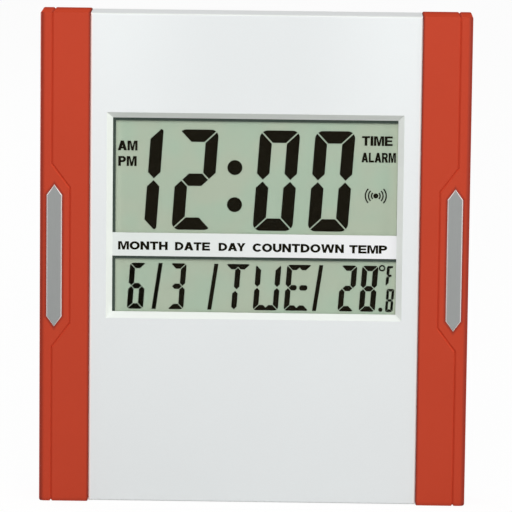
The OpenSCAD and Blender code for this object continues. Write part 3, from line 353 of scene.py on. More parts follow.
def silver_paint():
    """Silver paint on the front: fine flakes, slow clouds, a painted sheen that is pale at the upper corners
    and dull between them, a satin gloss, a warm painted highlight on the rim beside the rails, painted light
    on the bar that grows paler to the right, and a hint of green on the window's slopes with a painted
    highlight that makes the left one palest."""
    base = rgb(0.782, 0.808, 0.81)
    slope, lit_left_slope = rgb(0.775, 0.805, 0.775), rgb(0.875, 0.915, 0.86)
    bar_shaded_left, bar_lit_right = rgb(0.74, 0.783, 0.755), rgb(0.85, 0.855, 0.865)
    rim_highlight, blush_tint = rgb(0.97, 0.91, 0.885), rgb(0.90, 0.58, 0.51)
    painted_sheen_heights, painted_sheen_widths = (130 * MM, 250 * MM), (15 * MM, 80 * MM)
    bar_light_span = (-75 * MM, 75 * MM)
    f = Finish("silver_paint", specular_ior_level=0.25)
    flakes = f.cells(size=0.22 * MM).out("Color")
    spark = f.add("SeparateColor", sockets={0: flakes})
    clouds = f.noise(size=60 * MM)
    x, y, z = f.axes()
    nx, ny, _ = f.facing()
    slanted = 1.0 - abs(ny).above(0.8, 0.97)
    rim = abs(x).above(PANEL_EDGE - 1.5 * MM, PANEL_EDGE - 0.5 * MM)
    blush = (0.0 - x).above(PANEL_EDGE - 1.0 * MM, PANEL_EDGE - 0.3 * MM)
    bar = y.above(BAR_FACE - 0.6 * MM, BAR_FACE - 0.1 * MM)
    # Painted sheen: paler at the upper corners of the panel and duller between them
    painted_sheen = 0.5 + z.above(*painted_sheen_heights) * (abs(x).above(*painted_sheen_widths) - 0.5)
    paint = f.vary(0.2 * (spark + clouds) + 0.6 * painted_sheen, base, 0.94, 1.06)
    # Painted light: the bar's colour goes from painted shade at the left to a paler lit colour at the right
    paint = f.mix(bar, paint, f.mix(x.above(*bar_light_span), bar_shaded_left, bar_lit_right))
    # The window's slopes take a green tint, and the left one, which faces +X, a painted highlight
    paint = f.mix(slanted, paint, f.mix(nx.above(0.1, 0.3), slope, lit_left_slope))
    # Painted highlight: a warm pale rim on the panel next to each rail
    paint = f.mix(0.8 * rim, paint, rim_highlight)
    f.feed(
        base_color=f.mix(0.7 * blush, paint, blush_tint),
        roughness=0.4 + 0.12 * spark,
        normal=f.bump(spark, depth=0.004 * MM, strength=0.5),
    )
    return f


def trim_distance(x, z):
    """Distance outside the six-sided outline of a trim strip: the greater of those from its side and its
    point."""
    (mid_x, _, mid_z), (half, _, reach) = middle_and_half("right_trim_strip")
    across, along = abs(abs(x) - mid_x), abs(z - mid_z)
    point = (across * TRIM_POINT + (along - reach) * half) / math.hypot(half, TRIM_POINT)
    return (across - half).larger(point)


def red_paint():
    """Red satin paint with a fine orange peel: painted shade on its rounded outer edges and its inner edge, a
    painted shadow round the trim strip's pocket, painted light in the grooves and on the ends, darker at the
    foot and on the ends towards the back, and under a thin coat that leaves out the ends."""
    # Edge: the dark colour of the painted shade on the edges, of the painted shadow round the trim strip, and
    # of the darker foot and ends
    base, edge = rgb(0.515, 0.056, 0.0245), rgb(0.25, 0.030, 0.018)
    pocket_shadow_width, foot_heights = (0.4 * MM, 1.7 * MM), (0.3 * MM, 2.2 * MM)
    end_depths = (-2 * MM, RAIL_BACK)
    f = Finish("red_paint", specular_ior_level=0.0, coat_roughness=0.4)
    x, y, z = f.axes()
    _, ny, nz = f.facing()
    level = ny * ny
    slant = 4.0 * level * (1.0 - level)
    front = (0.0 - ny).above(0.3, 0.9)
    # Painted shade on the rounded outer edge and on the inner edge beside the panel
    outer = abs(x).above(RAIL_EDGE - 0.5 * MM, RAIL_EDGE)
    inner = 1.0 - abs(x).above(RAIL_INNER + 0.3 * MM, RAIL_INNER + 1.3 * MM)
    # Painted shadow on the rail's front round the trim strip's pocket
    pocket_shadow = front * (1.0 - trim_distance(x, z).above(*pocket_shadow_width))
    # Painted light: paler in the grooves and on the ends, where they would be in shade
    pale = 0.25 * slant * (1.0 - outer) + 0.4 * abs(nz)
    foot = 1.0 - z.above(*foot_heights)
    ends = 0.4 * abs(nz) * y.above(*end_depths) + 0.35 * foot
    paint = f.vary(f.noise(size=45 * MM), base, 0.97, 1.03)
    paint = f.mix(pale, paint, shade(base, 1.25))
    f.feed(
        base_color=f.mix(0.75 * outer * slant + 0.8 * inner + 0.65 * pocket_shadow + ends, paint, edge),
        coat_weight=(0.13 + 0.06 * f.noise(size=6 * MM)) * (1.0 - abs(nz)),
        normal=f.bump(f.noise(size=0.5 * MM), depth=0.006 * MM, strength=0.5),
    )
    return f


def satin_trim():
    """Brushed metal: grain along the strip, and a painted highlight on the bevels, brighter at the points
    than at the sides.
    """
    # Side and point are the painted highlight colours of the bevels
    face, side, point = rgb(0.295, 0.305, 0.30), rgb(0.74, 0.67, 0.66), rgb(0.98, 0.95, 0.93)
    f = Finish("satin_trim", specular_ior_level=0.3)
    _, ny, nz = f.facing()
    level = ny * ny
    slant = 4.0 * level * (1.0 - level)
    # Painted highlight on the bevels: pale at the sides and near white at the points
    bevel_highlight = f.mix((2.0 * abs(nz)).above(0.1, 0.8), side, point)
    grain = f.noise(size=0.12 * MM, place=f.stretched(1.0, 1.0, 0.02))
    f.feed(
        base_color=f.mix(slant, f.vary(grain, face, 0.93, 1.07), bevel_highlight),
        metallic=0.35 - 0.3 * slant,
        roughness=0.36 + 0.14 * grain,
        normal=f.bump(grain, depth=0.004 * MM, strength=0.5),
    )
    return f


def case_plastic():
    """Pale grey moulded plastic with a fine eroded texture."""
    base = rgb(0.66, 0.675, 0.675)
    f = Finish("case_plastic", specular_ior_level=0.3)
    texture = f.noise(size=0.45 * MM, detail=3.0)
    clouds = f.noise(size=50 * MM)
    f.feed(
        base_color=f.vary(0.6 * texture + 0.4 * clouds, base, 0.94, 1.05),
        roughness=0.5 + 0.15 * texture,
        normal=f.bump(texture, depth=0.03 * MM, strength=0.6),
    )
    return f


def button_plastic():
    """Grey buttons in a row, with turned rings on each cap."""
    base = rgb(0.42, 0.43, 0.44)
    ring = 0.5 * MM
    (mid_x, _, mid_z), _ = middle_and_half("alarm_button")
    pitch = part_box("down_button")[0].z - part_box("alarm_button")[0].z
    f = Finish("button_plastic", specular_ior_level=0.35)
    x, _, z = f.axes()
    along = (((z - mid_z) / pitch + 0.5).part() - 0.5) * pitch
    rings = ((x - mid_x).far(along) / ring).fold() * 2.0
    grain = f.noise(size=0.4 * MM)
    f.feed(
        base_color=f.vary(grain, base, 0.92, 1.06),
        roughness=0.45 + 0.1 * grain,
        normal=f.bump(rings, depth=0.03 * MM, strength=0.6),
    )
    return f


def gasket_foam():
    """Dark foam with open cells."""
    base = rgb(0.055, 0.075, 0.062)
    f = Finish("gasket_foam", specular_ior_level=0.1)
    pores = f.cells(size=0.35 * MM)
    f.feed(
        base_color=f.vary(pores, base, 1.3, 0.7),
        roughness=0.8 + 0.15 * pores,
        normal=f.bump(pores, depth=0.08 * MM, strength=0.6),
    )
    return f


def front_glass():
    """Clear glass with an anti-glare film."""
    f = Finish("front_glass", specular_ior_level=0.12, base_color=rgb(0.05, 0.06, 0.05))
    film = f.noise(size=0.3 * MM)
    f.feed(
        alpha=0.02 + 0.02 * film,
        roughness=0.2 + 0.1 * film,
        normal=f.bump(film, depth=0.002 * MM, strength=0.4),
    )
    return f


def display_film():
    """Grey-green polariser: fine speckle, slow clouds from cool to warm, and painted light towards both ends
    that cancels the shade of the window's walls.
    """
    cool, warm = rgb(0.428, 0.552, 0.425), rgb(0.472, 0.540, 0.418)
    lit_film_ends = (68 * MM, 75.5 * MM)
    f = Finish("display_film", specular_ior_level=0.1)
    x, _, _ = f.axes()
    speckle = f.noise(size=0.18 * MM)
    clouds = f.noise(size=22 * MM, detail=1.0).above(0.35, 0.65)
    film = f.mix(0.75 * clouds + 0.25 * speckle, cool, warm)
    f.feed(
        # Painted light: the film grows paler towards the window's left and right walls
        base_color=f.mix(abs(x).above(*lit_film_ends), film, shade(warm, 1.22)),
        roughness=0.5 + 0.15 * speckle,
        normal=f.bump(speckle, depth=0.003 * MM, strength=0.4),
    )
    return f


def plain_grain(name, base, lump, depth, rough, **fixed):
    """A moulded or cast surface: lumps of a size vary its colour, its gloss and its relief."""
    f = Finish(name, **fixed)
    lumps = f.noise(size=lump, detail=3.0)
    f.feed(
        base_color=f.vary(lumps, base, 0.88, 1.12),
        roughness=rough + 0.12 * lumps,
        normal=f.bump(lumps, depth, strength=0.5),
    )
    return f


def brushed_metal(name, base, run, rough):
    """Plated sheet: fine lines along the axis that is stretched, and dull spots."""
    f = Finish(name, metallic=0.9)
    lines = f.noise(size=0.15 * MM, place=f.stretched(*run))
    spots = f.noise(size=3 * MM).above(0.55, 0.8)
    f.feed(
        base_color=f.vary(0.5 * lines + 0.3 * spots, base, 1.05, 0.8),
        roughness=rough + 0.12 * lines + 0.1 * spots,
        normal=f.bump(lines, depth=0.004 * MM, strength=0.5),
    )
    return f


def contact_rubber():
    """Rubber strip in layers: dark and pale lines, one pair in each fifth of a millimetre."""
    dark, pale = rgb(0.03, 0.03, 0.035), rgb(0.45, 0.36, 0.35)
    pair = 0.2 * MM
    f = Finish("contact_rubber", specular_ior_level=0.2)
    x, _, _ = f.axes()
    layer = (x / pair).fold().above(0.2, 0.3)
    f.feed(
        base_color=f.mix(layer, dark, pale),
        roughness=0.6 + 0.2 * layer,
    )
    return f


def circuit_board():
    """Green mask over copper tracks, with tinned pads in a grid."""
    mask, track, tin = rgb(0.018, 0.13, 0.055), rgb(0.04, 0.23, 0.095), rgb(0.62, 0.61, 0.57)
    track_pitch, pad_x, pad_z = 2.4 * MM, 7.62 * MM, 5.08 * MM
    pad_rim = (0.75 * MM, 0.85 * MM)
    f = Finish("circuit_board", specular_ior_level=0.45)
    x, _, z = f.axes()
    lane = f.noise(size=16 * MM, detail=0.0) * 9.0
    tracks = (lane + z / track_pitch).fold().above(0.24, 0.3)
    across, along = ((x / pad_x).part() - 0.5) * pad_x, ((z / pad_z).part() - 0.5) * pad_z
    pads = 1.0 - across.far(along).above(*pad_rim)
    f.feed(
        base_color=f.mix(pads, f.mix(tracks, mask, track), tin),
        metallic=0.8 * pads,
        roughness=0.32 + 0.1 * pads,
        normal=f.bump(tracks + pads, depth=0.03 * MM, strength=0.5),
    )
    return f


def buzzer_brass():
    """Thin brass disc with turned rings round its middle."""
    bright, dull = rgb(0.72, 0.51, 0.19), rgb(0.55, 0.38, 0.15)
    ring = 0.3 * MM
    (mid_x, _, mid_z), _ = middle_and_half("buzzer_disc")
    f = Finish("buzzer_brass", metallic=0.9)
    x, _, z = f.axes()
    rings = ((x - mid_x).far(z - mid_z) / ring).fold() * 2.0
    tarnish = f.noise(size=5 * MM)
    f.feed(
        base_color=f.mix(tarnish, bright, dull),
        roughness=0.25 + 0.15 * rings + 0.1 * tarnish,
        normal=f.bump(rings, depth=0.003 * MM, strength=0.5),
    )
    return f


def buzzer_ceramic():
    """Ceramic disc with a silver electrode that stops short of its rim."""
    silver, bright_silver = rgb(0.62, 0.61, 0.58), rgb(0.72, 0.71, 0.68)
    (mid_x, _, mid_z), (disc_r, _, _) = middle_and_half("buzzer_ceramic")
    f = Finish("buzzer_ceramic", specular_ior_level=0.4)
    x, _, z = f.axes()
    rim = (x - mid_x).far(z - mid_z).above(disc_r - 1.1 * MM, disc_r - 1.0 * MM)
    grain = f.noise(size=0.3 * MM)
    f.feed(
        base_color=f.mix(rim, f.mix(grain, silver, bright_silver), rgb(0.80, 0.78, 0.70)),
        metallic=0.6 * (1.0 - rim),
        roughness=0.4 + 0.2 * grain,
    )
    return f


def cell_jacket():
    """Dry cells: a printed jacket with a broad and a narrow pale band, and bare metal at both ends. The left
    cell stands on its spring, and the right one is the other way up."""
    jacket, band_tint, metal = rgb(0.035, 0.10, 0.20), rgb(0.55, 0.57, 0.58), rgb(0.66, 0.65, 0.62)
    button_rim = (2.9 * MM, 3.3 * MM)
    low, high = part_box("battery_cells")
    (mid_x, mid_y, _), (half_x, cell_r, _) = middle_and_half("battery_cells")
    spring = high.z - low.z - CELL_LENGTH
    f = Finish("cell_jacket")
    x, y, z = f.axes()
    _, _, nz = f.facing()
    side = x - mid_x
    radius = (abs(side) - (half_x - cell_r)).far(y - mid_y)
    bare = abs(nz).above(0.6, 0.8).larger(1.0 - radius.above(*button_rim))
    right = side.above(-0.1 * MM, 0.1 * MM)
    from_foot = (z - low.z - spring) * (1.0 - right) + (low.z + CELL_LENGTH - z) * right
    share = from_foot / CELL_LENGTH
    broad = 1.0 - abs(share - 0.74).above(0.10, 0.105)
    narrow = 1.0 - abs(share - 0.08).above(0.02, 0.025)
    grain = f.noise(size=0.2 * MM)
    f.feed(
        base_color=f.mix(bare, f.mix(broad + narrow, jacket, band_tint), metal),
        metallic=0.85 * bare,
        roughness=0.28 + 0.12 * grain,
        normal=f.bump(grain, depth=0.003 * MM, strength=0.4),
    )
    return f


def insulation(name, base):
    """Soft insulation of a lead, with a faint grain along it."""
    f = Finish(name, specular_ior_level=0.35)
    grain = f.noise(size=0.3 * MM, place=f.stretched(1.0, 1.0, 0.1))
    f.feed(
        base_color=f.vary(grain, base, 0.85, 1.1),
        roughness=0.4 + 0.15 * grain,
        normal=f.bump(grain, depth=0.01 * MM, strength=0.4),
    )
    return f


def finishes():
    """The finish of each slot."""
    ink = rgb(0.0085, 0.0068, 0.0034)
    return {
        "front_panel": silver_paint(),
        "side_rail": red_paint(),
        "trim_strip": satin_trim(),
        "rear_case": case_plastic(),
        "button": button_plastic(),
        "gasket": gasket_foam(),
        "front_glass": front_glass(),
        "rear_glass": display_film(),
        "seal": plain_grain("glass_seal", rgb(0.42, 0.45, 0.39), 0.5 * MM, 0.01 * MM, 0.5),
        "segments": plain_grain("display_ink", ink, 0.2 * MM, 0.002 * MM, 0.5, specular_ior_level=0.02),
        "reflector": brushed_metal("reflector_foil", rgb(0.72, 0.74, 0.72), ALONG_X, 0.35),
        "contact_rubber": contact_rubber(),
        "circuit_board": circuit_board(),
        "chip_resin": plain_grain("chip_resin", rgb(0.012, 0.012, 0.013), 2 * MM, 0.05 * MM, 0.2),
        "crystal_can": brushed_metal("crystal_can", rgb(0.70, 0.70, 0.71), ALONG_X, 0.25),
        "sensor_bead": plain_grain("sensor_bead", rgb(0.03, 0.12, 0.06), 0.8 * MM, 0.04 * MM, 0.25),
        "screw_steel": brushed_metal("screw_steel", rgb(0.58, 0.58, 0.56), ALONG_SCREW, 0.28),
        "black_plastic": plain_grain("black_plastic", rgb(0.02, 0.02, 0.022), 0.3 * MM, 0.015 * MM, 0.4),
        "buzzer_brass": buzzer_brass(),
        "ceramic": buzzer_ceramic(),
        "lead_red": insulation("red_insulation", rgb(0.45, 0.02, 0.015)),
        "lead_black": insulation("black_insulation", rgb(0.02, 0.02, 0.02)),
        "cell_jacket": cell_jacket(),
        "contact_metal": brushed_metal("contact_plate", rgb(0.68, 0.67, 0.63), ALONG_Z, 0.3),
    }


def skin(rings):
    """Points and faces of a closed tube: quads join each ring of points to the next, and the first and
    the last ring are capped."""
    count, around = rings.shape[:2]
    index = np.arange(count * around).reshape(count, around)
    ahead = np.roll(index, -1, axis=1)
    quads = np.stack([index[:-1], ahead[:-1], ahead[1:], index[1:]], axis=-1).reshape(-1, 4)
    faces = quads.tolist() + [index[0][::-1].tolist(), index[-1].tolist()]
    return rings.reshape(-1, 3), faces


def joined(solids):
    """Several solids as one list of points and one of faces."""
    starts = np.cumsum([0] + [len(points) for points, _ in solids])
    faces = [[start + i for i in face] for start, (_, some) in zip(starts, solids) for face in some]
    return np.concatenate([points for points, _ in solids]), faces


def mesh_of(name, points, faces):
    """A mesh whose faces point outwards."""
    mesh = bpy.data.meshes.new(name)
    mesh.from_pydata(points.tolist(), [], faces)
    shell = bmesh.new()
    shell.from_mesh(mesh)
    bmesh.ops.remove_doubles(shell, verts=shell.verts, dist=WELD)
    bmesh.ops.recalc_face_normals(shell, faces=shell.faces)
    shell.to_mesh(mesh)
    shell.free()
    return mesh


def put(name, mesh, slot, smooth=None):
    """A piece at the origin on the clock's body, in a slot's finish. Smooth is the least angle in degrees of
    an edge that stays sharp, or None for flat faces."""
    if smooth is not None:
        mesh.polygons.foreach_set("use_smooth", np.ones(len(mesh.polygons), bool))
        mesh.set_sharp_from_angle(angle=math.radians(smooth))
    mesh.materials.append(FINISHES[slot].material)
    piece = bpy.data.objects.new(name, mesh)
    bpy.context.scene.collection.objects.link(piece)
    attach(piece, BODY)
    return piece


def bow(x, z, rx, rz, start, stop):
    """Points of an ellipse about x, z from one angle to another, in degrees."""
    turn = np.radians(np.linspace(start, stop, BOW_POINTS))
    return np.stack([x + rx * np.cos(turn), z + rz * np.sin(turn)], axis=1).tolist()


def oval(x, z, rx, rz):
    """Points of a whole ellipse, as two bows."""
    return bow(x, z, rx, rz, 0, 180)[:-1] + bow(x, z, rx, rz, 180, 360)[:-1]


def bowl(right, low, high, rx):
    """The round right-hand side of a D, P or R, from its low end to its high end."""
    return bow(right - rx, (low + high) / 2, rx, (high - low) / 2, -90, 90)


def letter_loops(letter, w, s, t):
    """Outlines of a bold block letter in a box one unit high and w wide: the first goes round the letter and
    a second one is its hole. S is the width of a stem and t the height of a bar."""
    mid = w / 2
    if letter == "A":
        foot, tip, bar = 1.12 * s, 0.62 * s, 0.19
        run = mid - tip
        beam = bar + 0.9 * t
        arch = [(foot, 0), (foot + bar * run, bar), (w - foot - bar * run, bar), (w - foot, 0)]
        hole = [(foot + beam * run, beam), (w - foot - beam * run, beam), (mid, (mid - foot) / run)]
        return [[(0, 0)] + arch + [(w, 0), (mid + tip, 1), (mid - tip, 1)], hole]
    if letter == "C":
        rx = 0.55 * w
        return [bow(rx, 0.5, rx, 0.5, 36, 324) + bow(rx, 0.5, rx - s, 0.5 - t, 318, 42)]
    if letter == "D":
        rx = 0.62 * w
        hole = [(s, t)] + bowl(w - s, t, 1 - t, rx - s) + [(s, 1 - t)]
        return [[(0, 0)] + bowl(w, 0, 1, rx) + [(0, 1)], hole]
    if letter == "E":
        low, high, arm = 0.5 - 0.45 * t, 0.5 + 0.45 * t, 0.93 * w
        lower = [(0, 0), (w, 0), (w, t), (s, t), (s, low), (arm, low)]
        return [lower + [(arm, high), (s, high), (s, 1 - t), (w, 1 - t), (w, 1), (0, 1)]]
    if letter == "H":
        low, high = 0.5 - 0.5 * t, 0.5 + 0.5 * t
        left = [(0, 1), (0, 0), (s, 0), (s, low), (w - s, low), (w - s, 0)]
        return [left + [(w, 0), (w, 1), (w - s, 1), (w - s, high), (s, high), (s, 1)]]
    if letter == "I":
        return [[(0, 0), (w, 0), (w, 1), (0, 1)]]
    if letter == "L":
        return [[(0, 0), (w, 0), (w, t), (s, t), (s, 1), (0, 1)]]
    if letter == "M":
        half, shoulder, leg = 0.42 * s, 1.3 * s, 0.88 * s
        notch = 1 - 0.3 * (1 - half / (mid - shoulder + half))
        left = [(0, 0), (leg, 0), (leg, notch), (mid - half, 0)]
        right = [(mid + half, 0), (w - leg, notch), (w - leg, 0), (w, 0)]
        return [left + right + [(w, 1), (w - shoulder, 1), (mid, 0.36), (shoulder, 1), (0, 1)]]
    if letter == "N":
        rise = s / (w - s)
        left = [(0, 0), (s, 0), (s, 1 - rise), (w - s, 0), (w, 0)]
        return [left + [(w, 1), (w - s, 1), (w - s, rise), (s, 1), (0, 1)]]
    if letter == "O":
        return [oval(mid, 0.5, mid, 0.5), oval(mid, 0.5, mid - s, 0.5 - t)]
    if letter in "PR":
        rx, low = 0.45 * w, 0.38
        hole = [(s, low + t)] + bowl(w - s, low + t, 1 - t, max(rx - s, 0.1 * w)) + [(s, 1 - t)]
        stem = [(0, 0), (s, 0), (s, low)]
        if letter == "R":
            stem += [(0.5 * w - 0.2 * s, low), (w - 1.15 * s, 0), (1.03 * w, 0), (0.5 * w + s, low + 0.02)]
            return [stem + bowl(0.97 * w, low, 1, rx)[3:] + [(0, 1)], hole]
        return [stem + bowl(w, low, 1, rx) + [(0, 1)], hole]
    if letter == "T":
        left, right = mid - s / 2, mid + s / 2
        stem = [(left, 1 - t), (left, 0), (right, 0), (right, 1 - t)]
        return [[(0, 1), (0, 1 - t)] + stem + [(w, 1 - t), (w, 1)]]
    if letter == "U":
        turn = 0.42
        outer = [(0, 1)] + bow(mid, turn, mid, turn, 180, 360) + [(w, 1)]
        return [outer + [(w - s, 1)] + bow(mid, turn, mid - s, turn - t, 360, 180) + [(s, 1)]]
    if letter == "W":
        half, top, low = 0.5 * s, 0.98 * s, 0.26 * w
        left = [(0, 1), (low - half, 0), (low + half, 0), (mid, 0.66)]
        right = [(w - low - half, 0), (w - low + half, 0), (w, 1), (w - top, 1), (w - low, 0.36)]
        return [left + right + [(mid + half, 1), (mid - half, 1), (low, 0.36), (top, 1)]]
    fork, arm = 0.42, 1.15 * s
    foot = [(mid - s / 2, 0), (mid + s / 2, 0), (mid + s / 2, fork)]
    return [foot + [(w, 1), (w - arm, 1), (mid, fork + 0.2), (arm, 1), (0, 1), (mid - s / 2, fork)]]


def word_loops(letters, width, style):
    """Outlines of a word one unit high: the letters share out the width less the gaps in proportion to their
    natural widths, and their stems follow."""
    stem, bar, gap = style
    gaps = [gap - CLOSER.get(pair, 0.0) for pair in map("".join, zip(letters, letters[1:]))]
    share = (width - sum(gaps)) / sum(LETTER_WIDTHS[c] for c in letters)
    x, loops = 0.0, []
    for c, after in zip(letters, gaps + [0.0]):
        w = share * LETTER_WIDTHS[c]
        loops += [np.array(loop) + [x, 0] for loop in letter_loops(c, w, share * stem, bar)]
        x += w + after
    return loops


def word_mesh(name, letters, style, box, front, back):
    """A word as a thin plate: the flat outlines are filled and carried from front to back in Y, and scaled
    to a box in X and Z."""
    left, right, bottom, top = box
    height = top - bottom
    curve = bpy.data.curves.new(name, "CURVE")
    curve.dimensions = "2D"
    curve.fill_mode = "BOTH"
    curve.extrude = 0.5
    for loop in word_loops(letters, (right - left) / height, style):
        spline = curve.splines.new("POLY")
        spline.points.add(len(loop) - 1)
        spline.points.foreach_set("co", np.pad(loop, ((0, 0), (0, 2))).ravel())
        spline.use_cyclic_u = True
    drawn = bpy.data.objects.new(name, curve)
    bpy.context.scene.collection.objects.link(drawn)
    flat = bpy.data.meshes.new_from_object(drawn.evaluated_get(bpy.context.evaluated_depsgraph_get()))
    bpy.data.objects.remove(drawn)
    points = np.empty(len(flat.vertices) * 3, np.float32)
    flat.vertices.foreach_get("co", points)
    x, z, depth = points.reshape(-1, 3).astype(float).T
    y = back + (front - back) * (depth > 0)
    placed = np.stack([left + height * x, y, bottom + height * z], axis=1)
    return mesh_of(name, placed, [list(face.vertices) for face in flat.polygons])


def words():
    """The words on the bar and in the time display."""
    printed = (BAR_FACE - INK, BAR_FACE + INK_ROOT)
    rows = ((BAR_WORDS, BAR_STYLE, printed), (DISPLAY_WORDS, DISPLAY_STYLE, DISPLAY_GAP))
    for row, style, depths in rows:
        for name, (letters, *box) in row.items():
            mesh = word_mesh("word_" + name, letters, style, [MM * edge for edge in box], *depths)
            put("word_" + name, mesh, "segments")


def arc_solid(radius, middle, half):
    """A bar of square section carried round an arc in the display's plane: angles in degrees from +X."""
    turn = np.radians(np.linspace(middle - half, middle + half, ARC_POINTS))[:, None]
    reach = radius + SIGN_STROKE / 2 * np.array([-1.0, 1.0, 1.0, -1.0])
    depth = np.repeat(DISPLAY_GAP, 2)
    x = SIGN_AT[0] + reach * np.cos(turn)
    z = SIGN_AT[1] + reach * np.sin(turn)
    return skin(np.stack([x, np.broadcast_to(depth, x.shape), z], axis=-1))


def plate(x, z, depths):
    """A flat outline carried in Y: one ring of its points at the front and one at the back."""
    return skin(np.stack([np.stack([x, np.full_like(x, y), z], axis=-1) for y in depths]))


def dot_solid():
    """A short cylinder: a circle carried through the display's gap."""
    turn = np.linspace(0, 2 * math.pi, DOT_POINTS, endpoint=False)
    return plate(SIGN_AT[0] + SIGN_DOT * np.cos(turn), SIGN_AT[1] + SIGN_DOT * np.sin(turn), DISPLAY_GAP)


def alarm_sign():
    """The dot and the arcs on both sides of it."""
    arcs = [arc_solid(radius, middle, half) for radius, half in SIGN_ARCS for middle in (0, 180)]
    put("alarm_sign", mesh_of("alarm_sign", *joined([dot_solid()] + arcs)), "segments")


def unit_bars():
    """The bars of the unit letter: outlines that lean in proportion to the height, carried through the date
    display's gap."""
    low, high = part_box("date_lcd_segments")
    depths = (low.y + UNIT_INSET, high.y - UNIT_INSET)
    outlines = [MM * np.array(outline).T for outline in UNIT_BARS]
    bars = [plate(UNIT_X + u + UNIT_LEAN * v, low.z + UNIT_RISE + v, depths) for u, v in outlines]
    put("unit_letter_bars", mesh_of("unit_letter_bars", *joined(bars)), "segments")


def screw_rings(length):
    """Rings of a pan-head screw about the Y axis, from the top of its head to its tip, with the head towards
    +Y. Top: a height field over a polar grid, a crown that falls with the square of the radius less a
    cross-shaped recess with sloping walls. Rim: a quarter round. Shank: the radius falls with a triangle wave
    of height plus turn, which is a thread, and tapers at the tip."""
    turn = np.linspace(0, 2 * math.pi, SCREW_AROUND, endpoint=False)
    inner = HEAD_R - HEAD_FILLET
    r = np.linspace(SCREW_STEP, inner, HEAD_RINGS)[:, None] + 0 * turn
    a, b = np.abs(r * np.cos(turn)), np.abs(r * np.sin(turn))
    walls = np.clip((RECESS_W - np.minimum(a, b)) / RECESS_SLOPE, 0, 1)
    ends = np.clip((RECESS_R - r) / (2 * RECESS_SLOPE), 0, 1)
    top = HEAD_H - HEAD_CROWN * (r / HEAD_R) ** 2 - RECESS_D * walls * ends
    bend = np.linspace(0, math.pi / 2, RIM_RINGS)[1:, None] + 0 * turn
    rim_r = inner + HEAD_FILLET * np.sin(bend)
    rim_y = HEAD_H - HEAD_CROWN * (inner / HEAD_R) ** 2 - HEAD_FILLET * (1 - np.cos(bend))
    under_r = np.array([HEAD_R, SHANK_R])[:, None] + 0 * turn
    steps = 1 + int(THREAD_RINGS * length / THREAD_PITCH)
    y = np.linspace(-SCREW_STEP, -length, steps)[:, None] + 0 * turn
    wave = np.abs(np.mod(y / THREAD_PITCH + turn / (2 * math.pi), 1) - 0.5) * 2
    taper = np.clip((length + y) / TIP_LENGTH, TIP_SHARE, 1)
    shank = (SHANK_R - THREAD_D * wave) * taper
    reach = np.concatenate([r, rim_r, under_r, shank])
    height = np.concatenate([top, rim_y, 0 * under_r, y])
    return np.stack([reach * np.cos(turn), height, reach * np.sin(turn)], axis=-1)


def screws(node, places, side):
    """Screws in place of a node's plain ones. Places are X and Z, and side is the way along Y that the heads
    face. Each screw is turned a little further than the one before."""
    low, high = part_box(node)
    seat = high.y - HEAD_H if side > 0 else low.y + HEAD_H
    points, faces = skin(screw_rings(high.y - low.y - HEAD_H))
    solids = []
    for i, (x, z) in enumerate(places):
        spin = SCREW_SPIN * i
        across = points[:, 0] * math.cos(spin) - points[:, 2] * math.sin(spin)
        along = points[:, 0] * math.sin(spin) + points[:, 2] * math.cos(spin)
        solids.append((np.stack([x + across, seat + side * points[:, 1], z + side * along], axis=1), faces))
    name = node + "_threaded"
    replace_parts(put(name, mesh_of(name, *joined(solids)), "screw_steel", smooth=35), node)


def corner_places(node, rows):
    """X and Z of screws in one or two columns, with rows spread evenly from the lowest to the highest.
    Columns at the same micrometre are one."""
    low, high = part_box(node)
    columns = sorted({round(x, 6) for x in (low.x + HEAD_R, high.x - HEAD_R)})
    heights = np.linspace(low.z + HEAD_R, high.z - HEAD_R, rows)
    return [(x, z) for x in columns for z in heights]


def spring_rings(middle, foot, rise):
    """Round wire carried along a tapering helix: the radius goes from wide to narrow and the height grows
    with the turn, after a straight start and before a straight end that are one wire thick."""
    lead = 2 * WIRE_R
    share = np.linspace(0, 1, TURN_RINGS * SPRING_TURNS + 1)
    turn = 2 * math.pi * SPRING_TURNS * share
    radius = SPRING_R + (SPRING_TIP_R - SPRING_R) * share
    height = lead + (abs(rise) - 2 * lead) * share
    line = np.stack([radius * np.cos(turn), radius * np.sin(turn), height], axis=1)
    start = np.array([[SPRING_R, 0, 0]])
    end = np.array([[SPRING_TIP_R, 0, abs(rise)]])
    line = np.concatenate([start, line, end])
    ahead = np.gradient(line, axis=0)
    ahead /= np.linalg.norm(ahead, axis=1, keepdims=True)
    out = line * [1, 1, 0]
    out /= np.linalg.norm(out, axis=1, keepdims=True)
    v = np.cross(ahead, out)
    v /= np.linalg.norm(v, axis=1, keepdims=True)
    u = np.cross(v, ahead)
    around = np.linspace(0, 2 * math.pi, WIRE_AROUND, endpoint=False)[:, None]
    rings = line[:, None] + WIRE_R * (np.cos(around) * u[:, None] + np.sin(around) * v[:, None])
    flip = math.copysign(1, rise)
    return rings * [1, flip, flip] + [middle[0], middle[1], foot]


def springs():
    """One spring stands at the foot of the left cell and one hangs over the right cell."""
    low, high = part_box("battery_cells")
    coils_low, coils_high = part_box("battery_springs")
    (_, depth, _), (_, cell_r, _) = middle_and_half("battery_cells")
    rise = high.z - low.z - CELL_LENGTH
    left = skin(spring_rings((low.x + cell_r, depth), coils_low.z, rise))
    right = skin(spring_rings((high.x - cell_r, depth), coils_high.z, -rise))
    mesh = mesh_of("battery_springs_wound", *joined([left, right]))
    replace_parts(put("battery_springs_wound", mesh, "contact_metal", smooth=60), "battery_springs")


